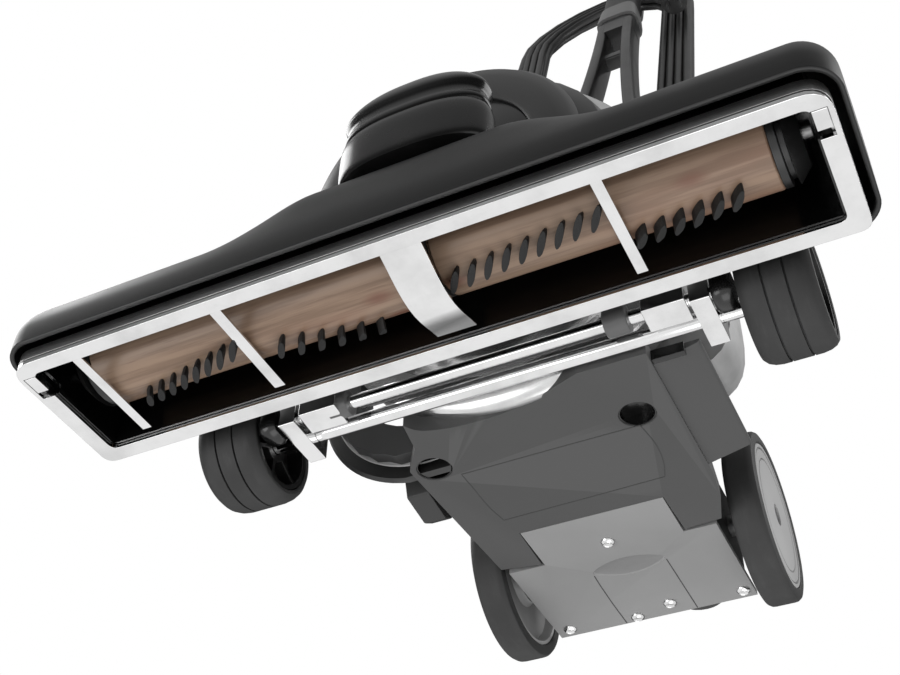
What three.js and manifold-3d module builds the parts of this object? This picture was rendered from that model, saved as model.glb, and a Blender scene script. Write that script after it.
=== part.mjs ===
// Upright roller sweeper: a powered nozzle with a wooden brush roller, a fan case and motor behind it,
// four wheels, a leaning handle and its wound cord. Millimetres, +Z up.
// Bench frame of every formula below: x = 0 at the middle of the nozzle, y = 0 at the front edge of the
// bottom plate and growing to the rear, z = 0 on the floor. The finished model is moved so that y = 0 is
// the middle of its overall depth.
import * as THREE from 'three';
import { mergeVertices } from 'three/addons/utils/BufferGeometryUtils.js';
import Module from 'manifold-3d';

const wasm = await Module();
wasm.setup();

// ---- clearances ----
const restGap = 0.3; // between pieces that touch
const runGap = 0.4; // round a turning shaft
const facet = 32; // sides of the large round pieces
const flatten = 1 / Math.cos(Math.PI / facet); // brings the flats of a tyre out to its radius

// ---- nozzle ----
const nozzleWidth = 375;
const nozzleDepth = 76.7;
const plateHeight = 13; // underside of the bottom plate above the floor
const plateThickness = 2.2;
const frontBar = 7.5;
const rearBar = 8.3;
const sideBar = 8.5;
const frontCorner = 12;
const rearCorner = 6;
const rimHeight = 6;
const rimWall = 3.5;
const rimGap = 0.8;
const latchStart = 9; // distance of the latch notch from the front edge
const latchLength = 10;
const latchTravel = 4;
const latchWidth = 6;
const chamberWall = 1.6;
const hoodOverhang = 5;
const hoodSide = 5.5;
const hoodWall = 2.2;
const hoodRear = 86;
const hoodTop = 71;
const shelfTop = 73.5;
const beltFront = 34; // the belt's way through the hood starts here
const lampX = 9; // the lamp and its shelf sit a little to the right of the middle

// ---- guards ----
const guardThickness = 1.2;
const guardEnd = 6; // a guard stops this far short of the rear bar
const guardBars = { guard_strap_outer: [-154.5, 5], guard_strap_left: [-80.5, 5.5], guard_strap_right: [95, 5] };
const beltGuardX = 9.5;
const beltGuardWidth = 19;
const beltGuardBow = 7;

// ---- roller ----
const rollerY = 37;
const rollerZ = 37;
const rollerRadius = 20;
const tuftReach = 6;
const tuftPhase = -1.9;
const tuftTwist = 1.35;
const woodHalf = 160;
const rollerAxleRadius = 4;
const capLength = 12;
const beltWidth = 9;
const beltThickness = 2.4;
const beltGroove = 3;

// ---- fan, motor and case ----
const bodyX = 6.2;
const motorZ = 126;
const caseRadius = 104;
const caseNeck = caseRadius - 17; // radius of the case in front of the rods
const caseWall = 3.5;
const caseFront = hoodRear + restGap;
const caseBack = 153;
const inletRadius = 46;
const fanRadius = caseRadius - 16;
const fanBlades = 8;
const coverRadius = 78;
const coverDepth = 21;
const shaftRadius = 6;
const pulleyRadius = 9;
const motorRadius = 50;
const motorWall = 3;
const motorLength = 158;
const rotorRadius = 26;
const statorRadius = 44;
const outletX = -55;
const outletZ = 88;
const outletRadius = 57;
const outletDepth = 8;
const flangeRadius = 66;
const flangeDepth = 5.7;
const mouthRadius = 38;

// ---- chassis ----
const bellyZ = 24; // underside of the covers above the floor
const trayHeight = 9;
const trayWall = 3;
const chassisFront = 170;
const chassisRear = 340;
const chassisTop = 70;
const chassisLeft = -50;
const chassisRight = 62;
const platePatch = { left: -55.5, right: 64, neckLeft: -34, neckRight: 46, front: 231.5, step: 265.5, rear: 343 };
const rearPlateThickness = 3;

// ---- wheels ----
const frontRadius = 28.7;
const frontY = 116.6;
const frontInner = 119.6;
const frontWidth = 33.6;
const rearRadius = 48.3;
const rearY = 306.5;
const rearInner = 65.8;
const rearWidth = 17.9;
const frontAxleRadius = 4;
const rearAxleRadius = 6;
const pivotBarRadius = 3.2;
const pivotOffset = 15; // the pivot bar lies this far in front of the front axle
const armInner = 99;
const armWidth = 9;

// ---- handle ----
const pivotY = 216;
const pivotZ = 121;
const lean = Math.atan(1 / 3);
const legWidth = 11;
const legDepth = 26;
const trunnionRadius = 6;
const legFoot = 61; // sideways distance of a leg's middle from the handle's middle, at the pivot
const forkTop = 598;
const neckHalf = 18;
const collarHeight = 35;
const tubeHalfWidth = 17;
const tubeHalfDepth = 14;
const tubeLength = 250;
const gripLength = 175;
const gripBack = 46;

// ---- cord ----
const cordDiameter = 7.4;
const hankX = -30; // from the handle's middle
const pegX = -8;
const hankTop = forkTop + 107; // middle of the upper round end, along the handle
const hankBottom = hankTop - 332;
const hankOuter = 93;
const hankInner = 56;
const hankFront = legDepth / 2 + 6;
const hankDepth = 2 * cordDiameter + 2.2;
const tailX = 0;
const reliefLength = 40;
const plugX = 52;
const plugHeight = hankTop - 65;
const plugBody = 44;
const plugRadius = 12.5;

// ---- finishes ----
const finish = (color, roughness, metalness) => ({ color, roughness, metalness });
const chrome = finish(0xe6e6e8, 0.12, 1);
const brushed = finish(0xc9cacc, 0.34, 1);
const castAlloy = finish(0x9d9ea0, 0.38, 0.7);
const blackPlastic = finish(0x2b2b2c, 0.42, 0);
const glossBlack = finish(0x131314, 0.12, 0);
const darkPlastic = finish(0x505152, 0.6, 0);
const midPlastic = finish(0x858687, 0.48, 0);
const rubber = finish(0x3a3b3c, 0.72, 0);
const wood = finish(0xb08a6c, 0.55, 0);
const bristle = finish(0x141414, 0.8, 0);
const steel = finish(0x8c8d90, 0.35, 1);
const clearLens = finish(0x1a1a1c, 0.08, 0);
const cordRubber = finish(0x262627, 0.6, 0);

const model = new THREE.Group();
const handleGroup = new THREE.Group();
handleGroup.position.set(bodyX, pivotY, pivotZ);
handleGroup.rotation.x = -lean;
model.add(handleGroup);

// ---- solids ----
// Turns every face of a closed skin outwards, whichever way its outline was drawn.
function outward(skin) {
  const index = skin.index ? Array.from(skin.index.array) : [...skin.attributes.position.array.keys()]
    .slice(0, skin.attributes.position.count);
  const corner = (k) => new THREE.Vector3().fromBufferAttribute(skin.attributes.position, index[k]);
  let volume = 0;
  for (let k = 0; k < index.length; k += 3) volume += corner(k).dot(corner(k + 1).cross(corner(k + 2)));
  if (volume < 0) {
    for (let k = 0; k < index.length; k += 3) [index[k], index[k + 1]] = [index[k + 1], index[k]];
  }
  skin.setIndex(index);
  skin.computeVertexNormals();
  return skin;
}

function solidFrom(geometry) {
  const bare = geometry.index ? geometry.toNonIndexed() : geometry.clone();
  bare.deleteAttribute('normal');
  bare.deleteAttribute('uv');
  const merged = mergeVertices(bare, 1e-4);
  return new wasm.Manifold(new wasm.Mesh({
    numProp: 3,
    vertProperties: merged.attributes.position.array,
    triVerts: new Uint32Array(merged.index.array),
  }));
}

function geometryFrom(solid) {
  const raw = solid.getMesh();
  const geometry = new THREE.BufferGeometry();
  geometry.setAttribute('position', new THREE.BufferAttribute(new Float32Array(raw.vertProperties), 3));
  geometry.setIndex(new THREE.BufferAttribute(new Uint32Array(raw.triVerts), 1));
  geometry.computeVertexNormals();
  return geometry;
}

function piece(name, shape, look, parent = model) {
  const geometry = shape.isBufferGeometry ? shape : geometryFrom(shape);
  const mesh = new THREE.Mesh(geometry, new THREE.MeshStandardMaterial({ name, ...look }));
  mesh.name = name;
  parent.add(mesh);
  return mesh;
}

const joined = (solids) => solids.reduce((whole, next) => whole.add(next));

// A straight bar of a (y, z) outline between two values of x.
function alongX(outline, x0, x1) {
  const bar = new THREE.ExtrudeGeometry(outline, { depth: x1 - x0, bevelEnabled: false, curveSegments: 12 });
  const turn = new THREE.Matrix4().makeBasis(
    new THREE.Vector3(0, 1, 0), new THREE.Vector3(0, 0, 1), new THREE.Vector3(1, 0, 0));
  return bar.applyMatrix4(turn).translate(x0, 0, 0);
}

// A flat piece of an (x, y) outline between two heights.
function alongZ(outline, z0, z1, curveSegments = 10) {
  return new THREE.ExtrudeGeometry(outline, { depth: z1 - z0, bevelEnabled: false, curveSegments })
    .translate(0, 0, z0);
}

const outline2 = (points) => new THREE.Shape(points.map(([x, y]) => new THREE.Vector2(x, y)));

function block(x0, x1, y0, y1, z0, z1) {
  return new THREE.BoxGeometry(x1 - x0, y1 - y0, z1 - z0)
    .translate((x0 + x1) / 2, (y0 + y1) / 2, (z0 + z1) / 2);
}

// A round piece of [radius, station] pairs about a line along X, Y or Z through a point.
function turned(profile, axis, x, y, z, sides = facet) {
  const points = profile.map(([radius, station]) => new THREE.Vector2(radius, station));
  const round = new THREE.LatheGeometry(points, sides);
  if (axis === 'x') round.rotateZ(-Math.PI / 2).rotateX(Math.PI / sides);
  if (axis === 'z') round.rotateX(Math.PI / 2);
  return outward(round.translate(x, y, z));
}

const rod = (radius, from, to, axis, x, y, z, sides = 16) =>
  turned([[0, from], [radius, from], [radius, to], [0, to]], axis, x, y, z, sides);

// A closed skin over loops of equal length, with flat ends.
function loft(loops) {
  const count = loops[0].length;
  const positions = loops.flat().flatMap((p) => [p.x, p.y, p.z]);
  const index = [];
  for (let i = 0; i + 1 < loops.length; i += 1) {
    for (let j = 0; j < count; j += 1) {
      const a = i * count + j;
      const b = i * count + ((j + 1) % count);
      index.push(a, b, b + count, a, b + count, a + count);
    }
  }
  for (const [loop, offset, flip] of [[loops[0], 0, true], [loops.at(-1), (loops.length - 1) * count, false]]) {
    const middle = loop.reduce((sum, p) => sum.add(p), new THREE.Vector3()).divideScalar(count);
    const hub = positions.length / 3;
    positions.push(middle.x, middle.y, middle.z);
    for (let j = 0; j < count; j += 1) {
      const pair = [offset + j, offset + ((j + 1) % count)];
      index.push(hub, ...(flip ? pair.reverse() : pair));
    }
  }
  const skin = new THREE.BufferGeometry();
  skin.setAttribute('position', new THREE.Float32BufferAttribute(positions, 3));
  skin.setIndex(index);
  return outward(skin);
}

function roundedOutline(left, right, front, rear, frontRound, rearRound) {
  const outline = new THREE.Shape();
  outline.moveTo(left + frontRound, front);
  outline.lineTo(right - frontRound, front);
  outline.quadraticCurveTo(right, front, right, front + frontRound);
  outline.lineTo(right, rear - rearRound);
  outline.quadraticCurveTo(right, rear, right - rearRound, rear);
  outline.lineTo(left + rearRound, rear);
  outline.quadraticCurveTo(left, rear, left, rear - rearRound);
  outline.lineTo(left, front + frontRound);
  outline.quadraticCurveTo(left, front, left + frontRound, front);
  return outline;
}

// Points of a rounded box (a superellipse) in a plane, for lofts.
function ovalLoop(count, halfU, halfV, power, place) {
  const loop = [];
  for (let k = 0; k < count; k += 1) {
    const angle = (2 * Math.PI * (k + 0.5)) / count;
    const cos = Math.cos(angle);
    const sin = Math.sin(angle);
    const u = halfU * Math.sign(cos) * Math.abs(cos) ** (2 / power);
    const v = halfV * Math.sign(sin) * Math.abs(sin) ** (2 / power);
    loop.push(place(u, v));
  }
  return loop;
}

// ---- nozzle ----
const half = nozzleWidth / 2;
const plateTop = plateHeight + plateThickness;
const rimBottom = plateTop + rimGap;
const rimTop = rimBottom + rimHeight;
const innerHalf = half - sideBar;
const windowRear = nozzleDepth - rearBar;

function bottomPlate() {
  const outline = roundedOutline(-half, half, 0, nozzleDepth, frontCorner, rearCorner);
  outline.holes.push(roundedOutline(-innerHalf, innerHalf, frontBar, windowRear, 4, 4));
  let plate = solidFrom(alongZ(outline, plateHeight, plateTop, 6));
  for (const side of [-1, 1]) {
    const inner = side * (innerHalf - 1);
    const outer = side * (innerHalf + latchWidth + restGap);
    const notch = block(Math.min(inner, outer), Math.max(inner, outer), latchStart,
      latchStart + latchLength + latchTravel + 2 * restGap, plateHeight - 1, plateTop + 1);
    plate = plate.subtract(solidFrom(notch));
  }
  return plate;
}

// A sliding catch that fills the front of its notch and hooks up inside the rim.
function plateLatch(side) {
  const near = side * innerHalf;
  const far = side * (innerHalf + latchWidth);
  const hookFar = side * (innerHalf + sideBar - rimWall - restGap);
  const y0 = latchStart + restGap;
  const pad = block(Math.min(near, far), Math.max(near, far), y0, y0 + latchLength, plateHeight, plateTop);
  const hook = block(Math.min(near, hookFar), Math.max(near, hookFar), y0 + 2, y0 + 7, plateTop - 1, rimBottom + 2);
  return solidFrom(pad).add(solidFrom(hook));
}

function nozzleRim() {
  const outline = roundedOutline(-half, half, 0, nozzleDepth, frontCorner, rearCorner);
  outline.holes.push(roundedOutline(-half + rimWall, half - rimWall, rimWall, nozzleDepth - rimWall,
    frontCorner - rimWall, rearCorner - rimWall));
  return alongZ(outline, rimBottom, rimTop, 6);
}

// The arched section of the roller chamber, grown by a wall.
function archOutline(grow, bottom) {
  const halfSpan = (windowRear - frontBar) / 2 - 1.3 + grow;
  const middle = (windowRear + frontBar) / 2;
  const spring = rollerZ - 5;
  const rise = rollerRadius + tuftReach + 1.2 + 5 + grow;
  const outline = new THREE.Shape();
  outline.moveTo(middle - halfSpan, bottom);
  outline.lineTo(middle + halfSpan, bottom);
  outline.lineTo(middle + halfSpan, spring);
  outline.absellipse(middle, spring, halfSpan, rise, 0, Math.PI, false, 0);
  outline.lineTo(middle - halfSpan, bottom);
  return outline;
}

function rollerHousing() {
  const chamberHalf = innerHalf - 1;
  const outside = solidFrom(alongX(archOutline(chamberWall, plateTop + restGap), -chamberHalf - chamberWall,
    chamberHalf + chamberWall));
  const inside = solidFrom(alongX(archOutline(0, 0), -chamberHalf, chamberHalf));
  const duct = solidFrom(block(bodyX - 26, bodyX + 30, beltFront - 6, windowRear + 20, rollerZ + 4, 100));
  const latchRoom = [-1, 1].map((side) => solidFrom(block(
    Math.min(side * (chamberHalf - 1), side * (chamberHalf + chamberWall + 1)),
    Math.max(side * (chamberHalf - 1), side * (chamberHalf + chamberWall + 1)),
    latchStart, latchStart + latchLength + latchTravel + 2, plateTop - 1, rimBottom + 4)));
  return outside.subtract(inside).subtract(duct).subtract(joined(latchRoom));
}

// Front-to-back section of the hood; shelf goes from 0 on the arms to 1 under the lamp.
function hoodSection(shelf, inset, squeeze) {
  const low = rimTop + restGap - (inset ? 20 : 0);
  const arm = [[0, 0], [0, 0.14], [1, 0.28], [5, 0.45], [12, 0.64], [22, 0.83], [36, 0.95], [53, 1],
    [70, 1], [84, 0.93], [92, 0.76], [94, 0.4], [94, 0]];
  const lamp = [[0, 0], [0, 0.14], [1, 0.3], [4, 0.52], [8, 0.75], [13, 0.91], [22, 1], [36, 1],
    [53, 1], [70, 1], [84, 1], [92, 0.95], [94, 0.4], [94, 0]];
  const span = hoodRear + hoodOverhang;
  const top = THREE.MathUtils.lerp(hoodTop, shelfTop, shelf) - inset;
  return arm.map(([depth, rise], k) => {
    const d = THREE.MathUtils.lerp(depth, lamp[k][0], shelf) / 94;
    const r = THREE.MathUtils.lerp(rise, lamp[k][1], shelf);
    const reach = span / 2 - inset - 16 * squeeze;
    const y = hoodRear - span / 2 + (2 * d - 1) * reach;
    const z = rimTop + restGap + (top - rimTop - restGap) * (1 - 0.3 * squeeze) * r;
    return [y, r === 0 ? low : z];
  });
}

function hoodLoft(inset) {
  const end = half + hoodSide - inset;
  const round = 16;
  const stations = [];
  for (let k = 0; k <= 4; k += 1) {
    const t = 1 - k / 4;
    stations.push([-(end - round + round * Math.sin((t * Math.PI) / 2)), 1 - Math.cos((t * Math.PI) / 2)]);
  }
  for (let x = -150; x <= 150; x += 25) stations.push([x, 0]);
  const right = stations.slice(0, 5).map(([x, squeeze]) => [-x, squeeze]).reverse();
  const all = [...stations, ...right];
  return loft(all.map(([x, squeeze]) => {
    const shelf = THREE.MathUtils.smoothstep(100 - Math.abs(x - lampX), 0, 55);
    return hoodSection(shelf, inset, squeeze).map(([y, z]) => new THREE.Vector3(x, y, z));
  }));
}

function nozzleHood() {
  const shell = solidFrom(hoodLoft(0)).subtract(solidFrom(hoodLoft(hoodWall)));
  const beltWay = solidFrom(block(bodyX - 18, bodyX + 24, beltFront, hoodRear + 9, 46, shelfTop + 5));
  return shell.subtract(beltWay);
}

// A guard is a strip from the front bar to a clip in front of the rear bar; the belt guard bows down.
function guardStrap(x, width, bow) {
  const start = frontBar + restGap;
  const end = windowRear - guardEnd;
  const top = plateTop - 0.4;
  const strip = new THREE.Shape();
  const steps = bow ? 10 : 1;
  const sag = (t) => bow * Math.sin(Math.PI * t) ** 1.2;
  for (let k = 0; k <= steps; k += 1) {
    const t = k / steps;
    const point = [start + (end - start) * t, top - guardThickness - sag(t)];
    if (k === 0) strip.moveTo(...point);
    else strip.lineTo(...point);
  }
  for (let k = steps; k >= 0; k -= 1) {
    const t = k / steps;
    strip.lineTo(start + (end - start) * t, top - sag(t));
  }
  strip.closePath();
  return alongX(strip, x - width / 2, x + width / 2);
}

// ---- roller ----
function rollerBody() {
  const groove = beltWidth / 2 + 2;
  const bore = rollerAxleRadius + runGap;
  const flat = rollerRadius;
  const profile = [[bore, -woodHalf], [flat, -woodHalf], [flat, beltGuardX - groove],
    [flat - beltGroove, beltGuardX - groove + 0.5], [flat - beltGroove, beltGuardX + groove - 0.5],
    [flat, beltGuardX + groove], [flat, woodHalf], [bore, woodHalf], [bore, -woodHalf]];
  return turned(profile, 'x', 0, rollerY, rollerZ);
}

function rollerCap(side) {
  const bore = rollerAxleRadius + runGap;
  const start = woodHalf + restGap;
  const rings = [[bore, start], [20, start], [20, start + 3], [17, start + 3.5], [17, start + 5.5],
    [20, start + 6], [14, start + capLength], [bore, start + capLength], [bore, start]];
  const profile = rings.map(([r, s]) => [r, side * s]);
  return turned(profile, 'x', 0, rollerY, rollerZ, 24);
}

const ring = (inner, x0, x1) => solidFrom(turned([[inner, x0], [rollerRadius + 12, x0], [rollerRadius + 12, x1],
  [inner, x1], [inner, x0]], 'x', 0, rollerY, rollerZ, 36));

// Two tuft strips that wind outwards from the belt on one half of the roller, joined by an end band.
function bristleRows(side) {
  const start = beltGuardX + side * (beltWidth / 2 + 7);
  const end = side * (woodHalf - 4);
  const base = rollerRadius + restGap;
  const strips = [0, Math.PI].map((turn) => {
    const loops = [];
    for (let k = 0; k <= 20; k += 1) {
      const x = start + ((end - start) * k) / 20;
      const angle = tuftPhase + turn + (tuftTwist * Math.abs(x - beltGuardX)) / woodHalf;
      const loop = [[base, -0.12], [base, 0.12], [rollerRadius + tuftReach, 0.09], [rollerRadius + tuftReach, -0.09]];
      loops.push(loop.map(([r, offset]) => new THREE.Vector3(
        x, rollerY + r * Math.cos(angle + offset), rollerZ + r * Math.sin(angle + offset))));
    }
    return solidFrom(loft(loops));
  });
  const band = turned([[base, end - 2], [base + 1.6, end - 2], [base + 1.6, end + 2], [base, end + 2],
    [base, end - 2]], 'x', 0, rollerY, rollerZ, 36);
  const bars = Object.values(guardBars).map(([x, width]) => ring(rollerRadius + 1.8, x - width / 2 - 2,
    x + width / 2 + 2));
  return joined([...strips, solidFrom(band)]).subtract(joined(bars));
}

// The flat belt: half a turn round the roller, a quarter twist up to the motor pulley, and back.
function driveBelt() {
  const low = rollerRadius - beltGroove + 2 * restGap + beltThickness / 2;
  const high = pulleyRadius + 2 * restGap + beltThickness / 2;
  const pulleyY = caseFront - 8;
  const frames = [];
  const rollerPoint = (angle) => ({
    at: [beltGuardX, rollerY + low * Math.cos(angle), rollerZ + low * Math.sin(angle)],
    wide: [1, 0, 0],
    thick: [0, Math.cos(angle), Math.sin(angle)],
  });
  const pulleyPoint = (angle) => ({
    at: [bodyX + high * Math.cos(angle), pulleyY, motorZ + high * Math.sin(angle)],
    wide: [0, -1, 0],
    thick: [Math.cos(angle), 0, Math.sin(angle)],
  });
  const toward = Math.atan2(motorZ - rollerZ, pulleyY - rollerY);
  const open = Math.acos(low / Math.hypot(motorZ - rollerZ, pulleyY - rollerY));
  const leave = toward + open;
  const meet = toward - open + 2 * Math.PI;
  for (let k = 0; k <= 12; k += 1) frames.push(rollerPoint(leave + ((meet - leave) * k) / 12));
  const between = (a, b, t) => a.map((v, i) => THREE.MathUtils.lerp(v, b[i], t));
  const climb = (from, to, twist) => {
    for (let k = 1; k < 8; k += 1) {
      const t = k / 8;
      frames.push({ at: between(from.at, to.at, t), wide: between(from.wide, to.wide, twist(t)),
        thick: between(from.thick, to.thick, twist(t)) });
    }
  };
  climb(rollerPoint(meet), pulleyPoint(0), (t) => t * t);
  for (let k = 0; k <= 10; k += 1) frames.push(pulleyPoint((Math.PI * k) / 10));
  climb(pulleyPoint(Math.PI), rollerPoint(leave), (t) => 1 - (1 - t) ** 2);
  const positions = [];
  const index = [];
  frames.forEach(({ at, wide, thick }, i) => {
    const w = new THREE.Vector3(...wide).normalize().multiplyScalar(beltWidth / 2);
    const n = new THREE.Vector3(...thick).normalize().multiplyScalar(beltThickness / 2);
    for (const [a, b] of [[-1, -1], [1, -1], [1, 1], [-1, 1]]) {
      positions.push(at[0] + a * w.x + b * n.x, at[1] + a * w.y + b * n.y, at[2] + a * w.z + b * n.z);
    }
    for (let j = 0; j < 4; j += 1) {
      const p = i * 4 + j;
      const q = i * 4 + ((j + 1) % 4);
      const next = ((i + 1) % frames.length) * 4 - i * 4;
      index.push(p, q, q + next, p, q + next, p + next);
    }
  });
  const belt = new THREE.BufferGeometry();
  belt.setAttribute('position', new THREE.Float32BufferAttribute(positions, 3));
  belt.setIndex(index);
  return outward(belt);
}

// ---- lamp ----
const lampFront = 3;
const lampRear = 34;
const lampHalf = 38;
const lampBase = shelfTop + restGap;
const lensTop = 100;
const lampTop = 130;

function lampLoops(rings, inset) {
  const middle = (lampFront + lampRear) / 2;
  const halfDepth = (lampRear - lampFront) / 2;
  return rings.map(([z, scale]) => ovalLoop(24, lampHalf * scale - inset, halfDepth * scale - inset, 2.5,
    (u, v) => new THREE.Vector3(lampX + u, middle + v, z)));
}

function lampLens() {
  const rings = [[lampBase, 0.95], [lampBase + 5, 1], [92, 1], [lensTop, 0.94]];
  const hollow = [[lampBase - 2, 0.95], [lensTop + 2, 0.9]];
  return solidFrom(loft(lampLoops(rings, 0))).subtract(solidFrom(loft(lampLoops(hollow, 3))));
}

function lampCap() {
  const rings = [[lensTop + restGap, 0.93], [105, 0.95], [109, 0.98], [115, 0.95], [121, 0.85], [126, 0.64],
    [lampTop, 0.3]];
  const hollow = [[lensTop - 2, 0.86], [113, 0.84], [123, 0.5]];
  return solidFrom(loft(lampLoops(rings, 0))).subtract(solidFrom(loft(lampLoops(hollow, 3))));
}

function bulb() {
  const profile = [[0, 0], [5, 0], [5, 8], [7.5, 12], [7.5, 18], [5, 22], [0, 24]];
  return turned(profile, 'z', lampX, (lampFront + lampRear) / 2, shelfTop + restGap, 12);
}

// ---- fan case and motor ----
function caseProfile(grow) {
  const neck = caseNeck + grow;
  const full = caseRadius + grow;
  const front = caseFront - grow;
  const back = caseBack + grow;
  return [[0, front], [neck - 12, front], [neck - 4, front + 5], [neck, caseFront + 14], [neck, 119],
    [neck + 7, 122.5], [full - 2, 126], [full, 130], [full, back - 6], [full - 4, back], [0, back]];
}

function fanCase() {
  const beam = solidFrom(block(bodyX - armInner + 2, bodyX + armInner - 2, 90, 98, 46, 62));
  const shell = solidFrom(turned(caseProfile(0), 'y', bodyX, 0, motorZ)).add(beam);
  const cuts = [
    turned(caseProfile(-caseWall), 'y', bodyX, 0, motorZ),
    rod(inletRadius, caseFront - 1, caseFront + caseWall + 1, 'y', bodyX, 0, motorZ, facet),
    rod(shaftRadius + 4, caseBack - caseWall - 1, caseBack + 1, 'y', bodyX, 0, motorZ),
    rod(mouthRadius - 10, caseBack - caseWall - 1, caseBack + 1, 'y', outletX, 0, outletZ),
  ];
  return cuts.reduce((rest, cut) => rest.subtract(solidFrom(cut)), shell);
}

// The dark front shell over the belt and the fan's inlet.
function fanCover() {
  const back = caseFront - restGap;
  const front = back - coverDepth;
  const outside = turned([[0, front], [coverRadius - 26, front], [coverRadius - 12, front + 4],
    [coverRadius - 3, front + 11], [coverRadius, back], [0, back]], 'y', bodyX, 0, motorZ);
  const inside = turned([[0, front + 3], [coverRadius - 28, front + 3], [coverRadius - 15, front + 7],
    [coverRadius - 6, front + 13], [coverRadius - 3, back + 1], [0, back + 1]], 'y', bodyX, 0, motorZ);
  const snout = (grow, floor) => alongX(outline2([[lampRear + 1 - grow, floor], [lampRear + 1 - grow, 84 + grow],
    [front - 3, motorZ - 3 + grow], [front + 12, motorZ - 3 + grow], [front + 12, floor]]),
  bodyX - 24 - grow, bodyX + 30 + grow);
  const shelf = block(-200, 200, 0, hoodRear + restGap, 0, shelfTop + restGap);
  const shell = solidFrom(outside).add(solidFrom(snout(0, shelfTop - 4)));
  return [inside, snout(-1.6, shelfTop - 9), shelf]
    .reduce((rest, cut) => rest.subtract(solidFrom(cut)), shell);
}

function motorShaft() {
  const tip = caseFront - 15;
  const end = caseBack + motorLength - 12;
  const groove = caseFront - 8;
  const core = caseBack + 40;
  return turned([[0, tip], [pulleyRadius, tip], [pulleyRadius, groove + beltWidth / 2],
    [pulleyRadius + 2, groove + beltWidth / 2 + 1], [shaftRadius, groove + beltWidth / 2 + 3],
    [shaftRadius, core], [rotorRadius, core], [rotorRadius, core + 60], [shaftRadius, core + 60],
    [shaftRadius, end], [0, end]], 'y', bodyX, 0, motorZ, 20);
}

function fan() {
  const back = caseBack - 6;
  const hub = turned([[shaftRadius + restGap, back - 20], [16, back - 20], [22, back - 3], [fanRadius, back - 3],
    [fanRadius, back], [shaftRadius + restGap, back], [shaftRadius + restGap, back - 20]], 'y', bodyX, 0, motorZ);
  const blades = Array.from({ length: fanBlades }, (_, k) => {
    const arc = new THREE.Shape();
    arc.moveTo(16, 0);
    arc.quadraticCurveTo(50, 4, fanRadius - 2, 26);
    arc.lineTo(fanRadius - 4, 28);
    arc.quadraticCurveTo(48, 8, 16, 3);
    arc.closePath();
    return solidFrom(alongZ(arc, 0, 17, 3).rotateZ((2 * Math.PI * k) / fanBlades).rotateX(Math.PI / 2)
      .translate(bodyX, back - 2, motorZ));
  });
  return solidFrom(hub).add(joined(blades));
}

const motorFront = caseBack + restGap;
const motorRear = motorFront + motorLength;

function motorHousing() {
  const outside = turned([[0, motorFront], [motorRadius, motorFront], [motorRadius, motorRear - 26],
    [motorRadius - 5, motorRear - 12], [motorRadius - 16, motorRear - 3], [0, motorRear]], 'y', bodyX, 0, motorZ);
  const inner = motorRadius - motorWall;
  const inside = turned([[0, motorFront - 1], [shaftRadius + 4, motorFront - 1], [shaftRadius + 4, motorFront + 4],
    [inner, motorFront + 4], [inner, motorRear - 28], [inner - 6, motorRear - 14], [0, motorRear - 6]],
  'y', bodyX, 0, motorZ);
  const vents = [];
  for (const side of [-1, 1]) {
    for (let k = 0; k < 4; k += 1) {
      const y = motorRear - 62 + 9 * k;
      vents.push(solidFrom(block(bodyX + side * 44 - 8, bodyX + side * 44 + 8, y, y + 4, motorZ + 6, motorZ + 30)));
    }
  }
  const reach = legFoot + legWidth / 2 + restGap;
  const trunnion = turned([[0, -reach - 3], [10, -reach - 3], [10, -reach], [trunnionRadius, -reach],
    [trunnionRadius, -motorRadius - 3], [13, -motorRadius - 3], [13, motorRadius + 3],
    [trunnionRadius, motorRadius + 3], [trunnionRadius, reach], [10, reach], [10, reach + 3], [0, reach + 3]],
  'x', bodyX, pivotY, pivotZ, 16);
  return solidFrom(outside).add(solidFrom(trunnion)).subtract(solidFrom(inside)).subtract(joined(vents));
}

function stator() {
  const front = caseBack + 36;
  return turned([[rotorRadius + 1.5, front], [statorRadius, front], [statorRadius, front + 68],
    [rotorRadius + 1.5, front + 68], [rotorRadius + 1.5, front]], 'y', bodyX, 0, motorZ, 36);
}

const outletFront = caseBack + restGap;
const aroundMotor = (grow) => solidFrom(rod(motorRadius + grow, outletFront - 5, outletFront + 60, 'y', bodyX, 0,
  motorZ, facet));

function exhaustOutlet() {
  const flutes = 24;
  const outline = new THREE.Shape();
  for (let k = 0; k < flutes * 2; k += 1) {
    const angle = (Math.PI * k) / flutes;
    const r = outletRadius - (k % 2 ? 1.4 : 0);
    const point = [r * Math.cos(angle), r * Math.sin(angle)];
    if (k === 0) outline.moveTo(...point);
    else outline.lineTo(...point);
  }
  outline.closePath();
  const drum = alongZ(outline, 0, outletDepth).rotateX(Math.PI / 2)
    .translate(outletX, outletFront + outletDepth, outletZ);
  const mouth = rod(mouthRadius, outletFront - 1, outletFront + outletDepth + 1, 'y', outletX, 0, outletZ, 32);
  return solidFrom(drum).subtract(solidFrom(mouth)).subtract(aroundMotor(restGap));
}

function outletFlange() {
  const front = outletFront + outletDepth + restGap;
  const back = front + flangeDepth;
  const band = turned([[mouthRadius, front], [flangeRadius, front], [flangeRadius, back], [mouthRadius, back],
    [mouthRadius, front]], 'y', outletX, 0, outletZ);
  return solidFrom(band).subtract(aroundMotor(restGap));
}

// The pale cowl at the right of the motor, which narrows towards the rear.
function sideCowl() {
  const stations = [[0, 1], [10, 1.02], [22, 1], [32, 0.93], [38, 0.82], [42, 0.6]];
  const loops = stations.map(([step, scale]) => ovalLoop(24, 24 * scale, 40 * scale, 2.8,
    (u, v) => new THREE.Vector3(87 + u - 4 * (1 - scale), outletFront + step, 75 + v)));
  return solidFrom(loft(loops)).subtract(aroundMotor(restGap));
}

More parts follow.
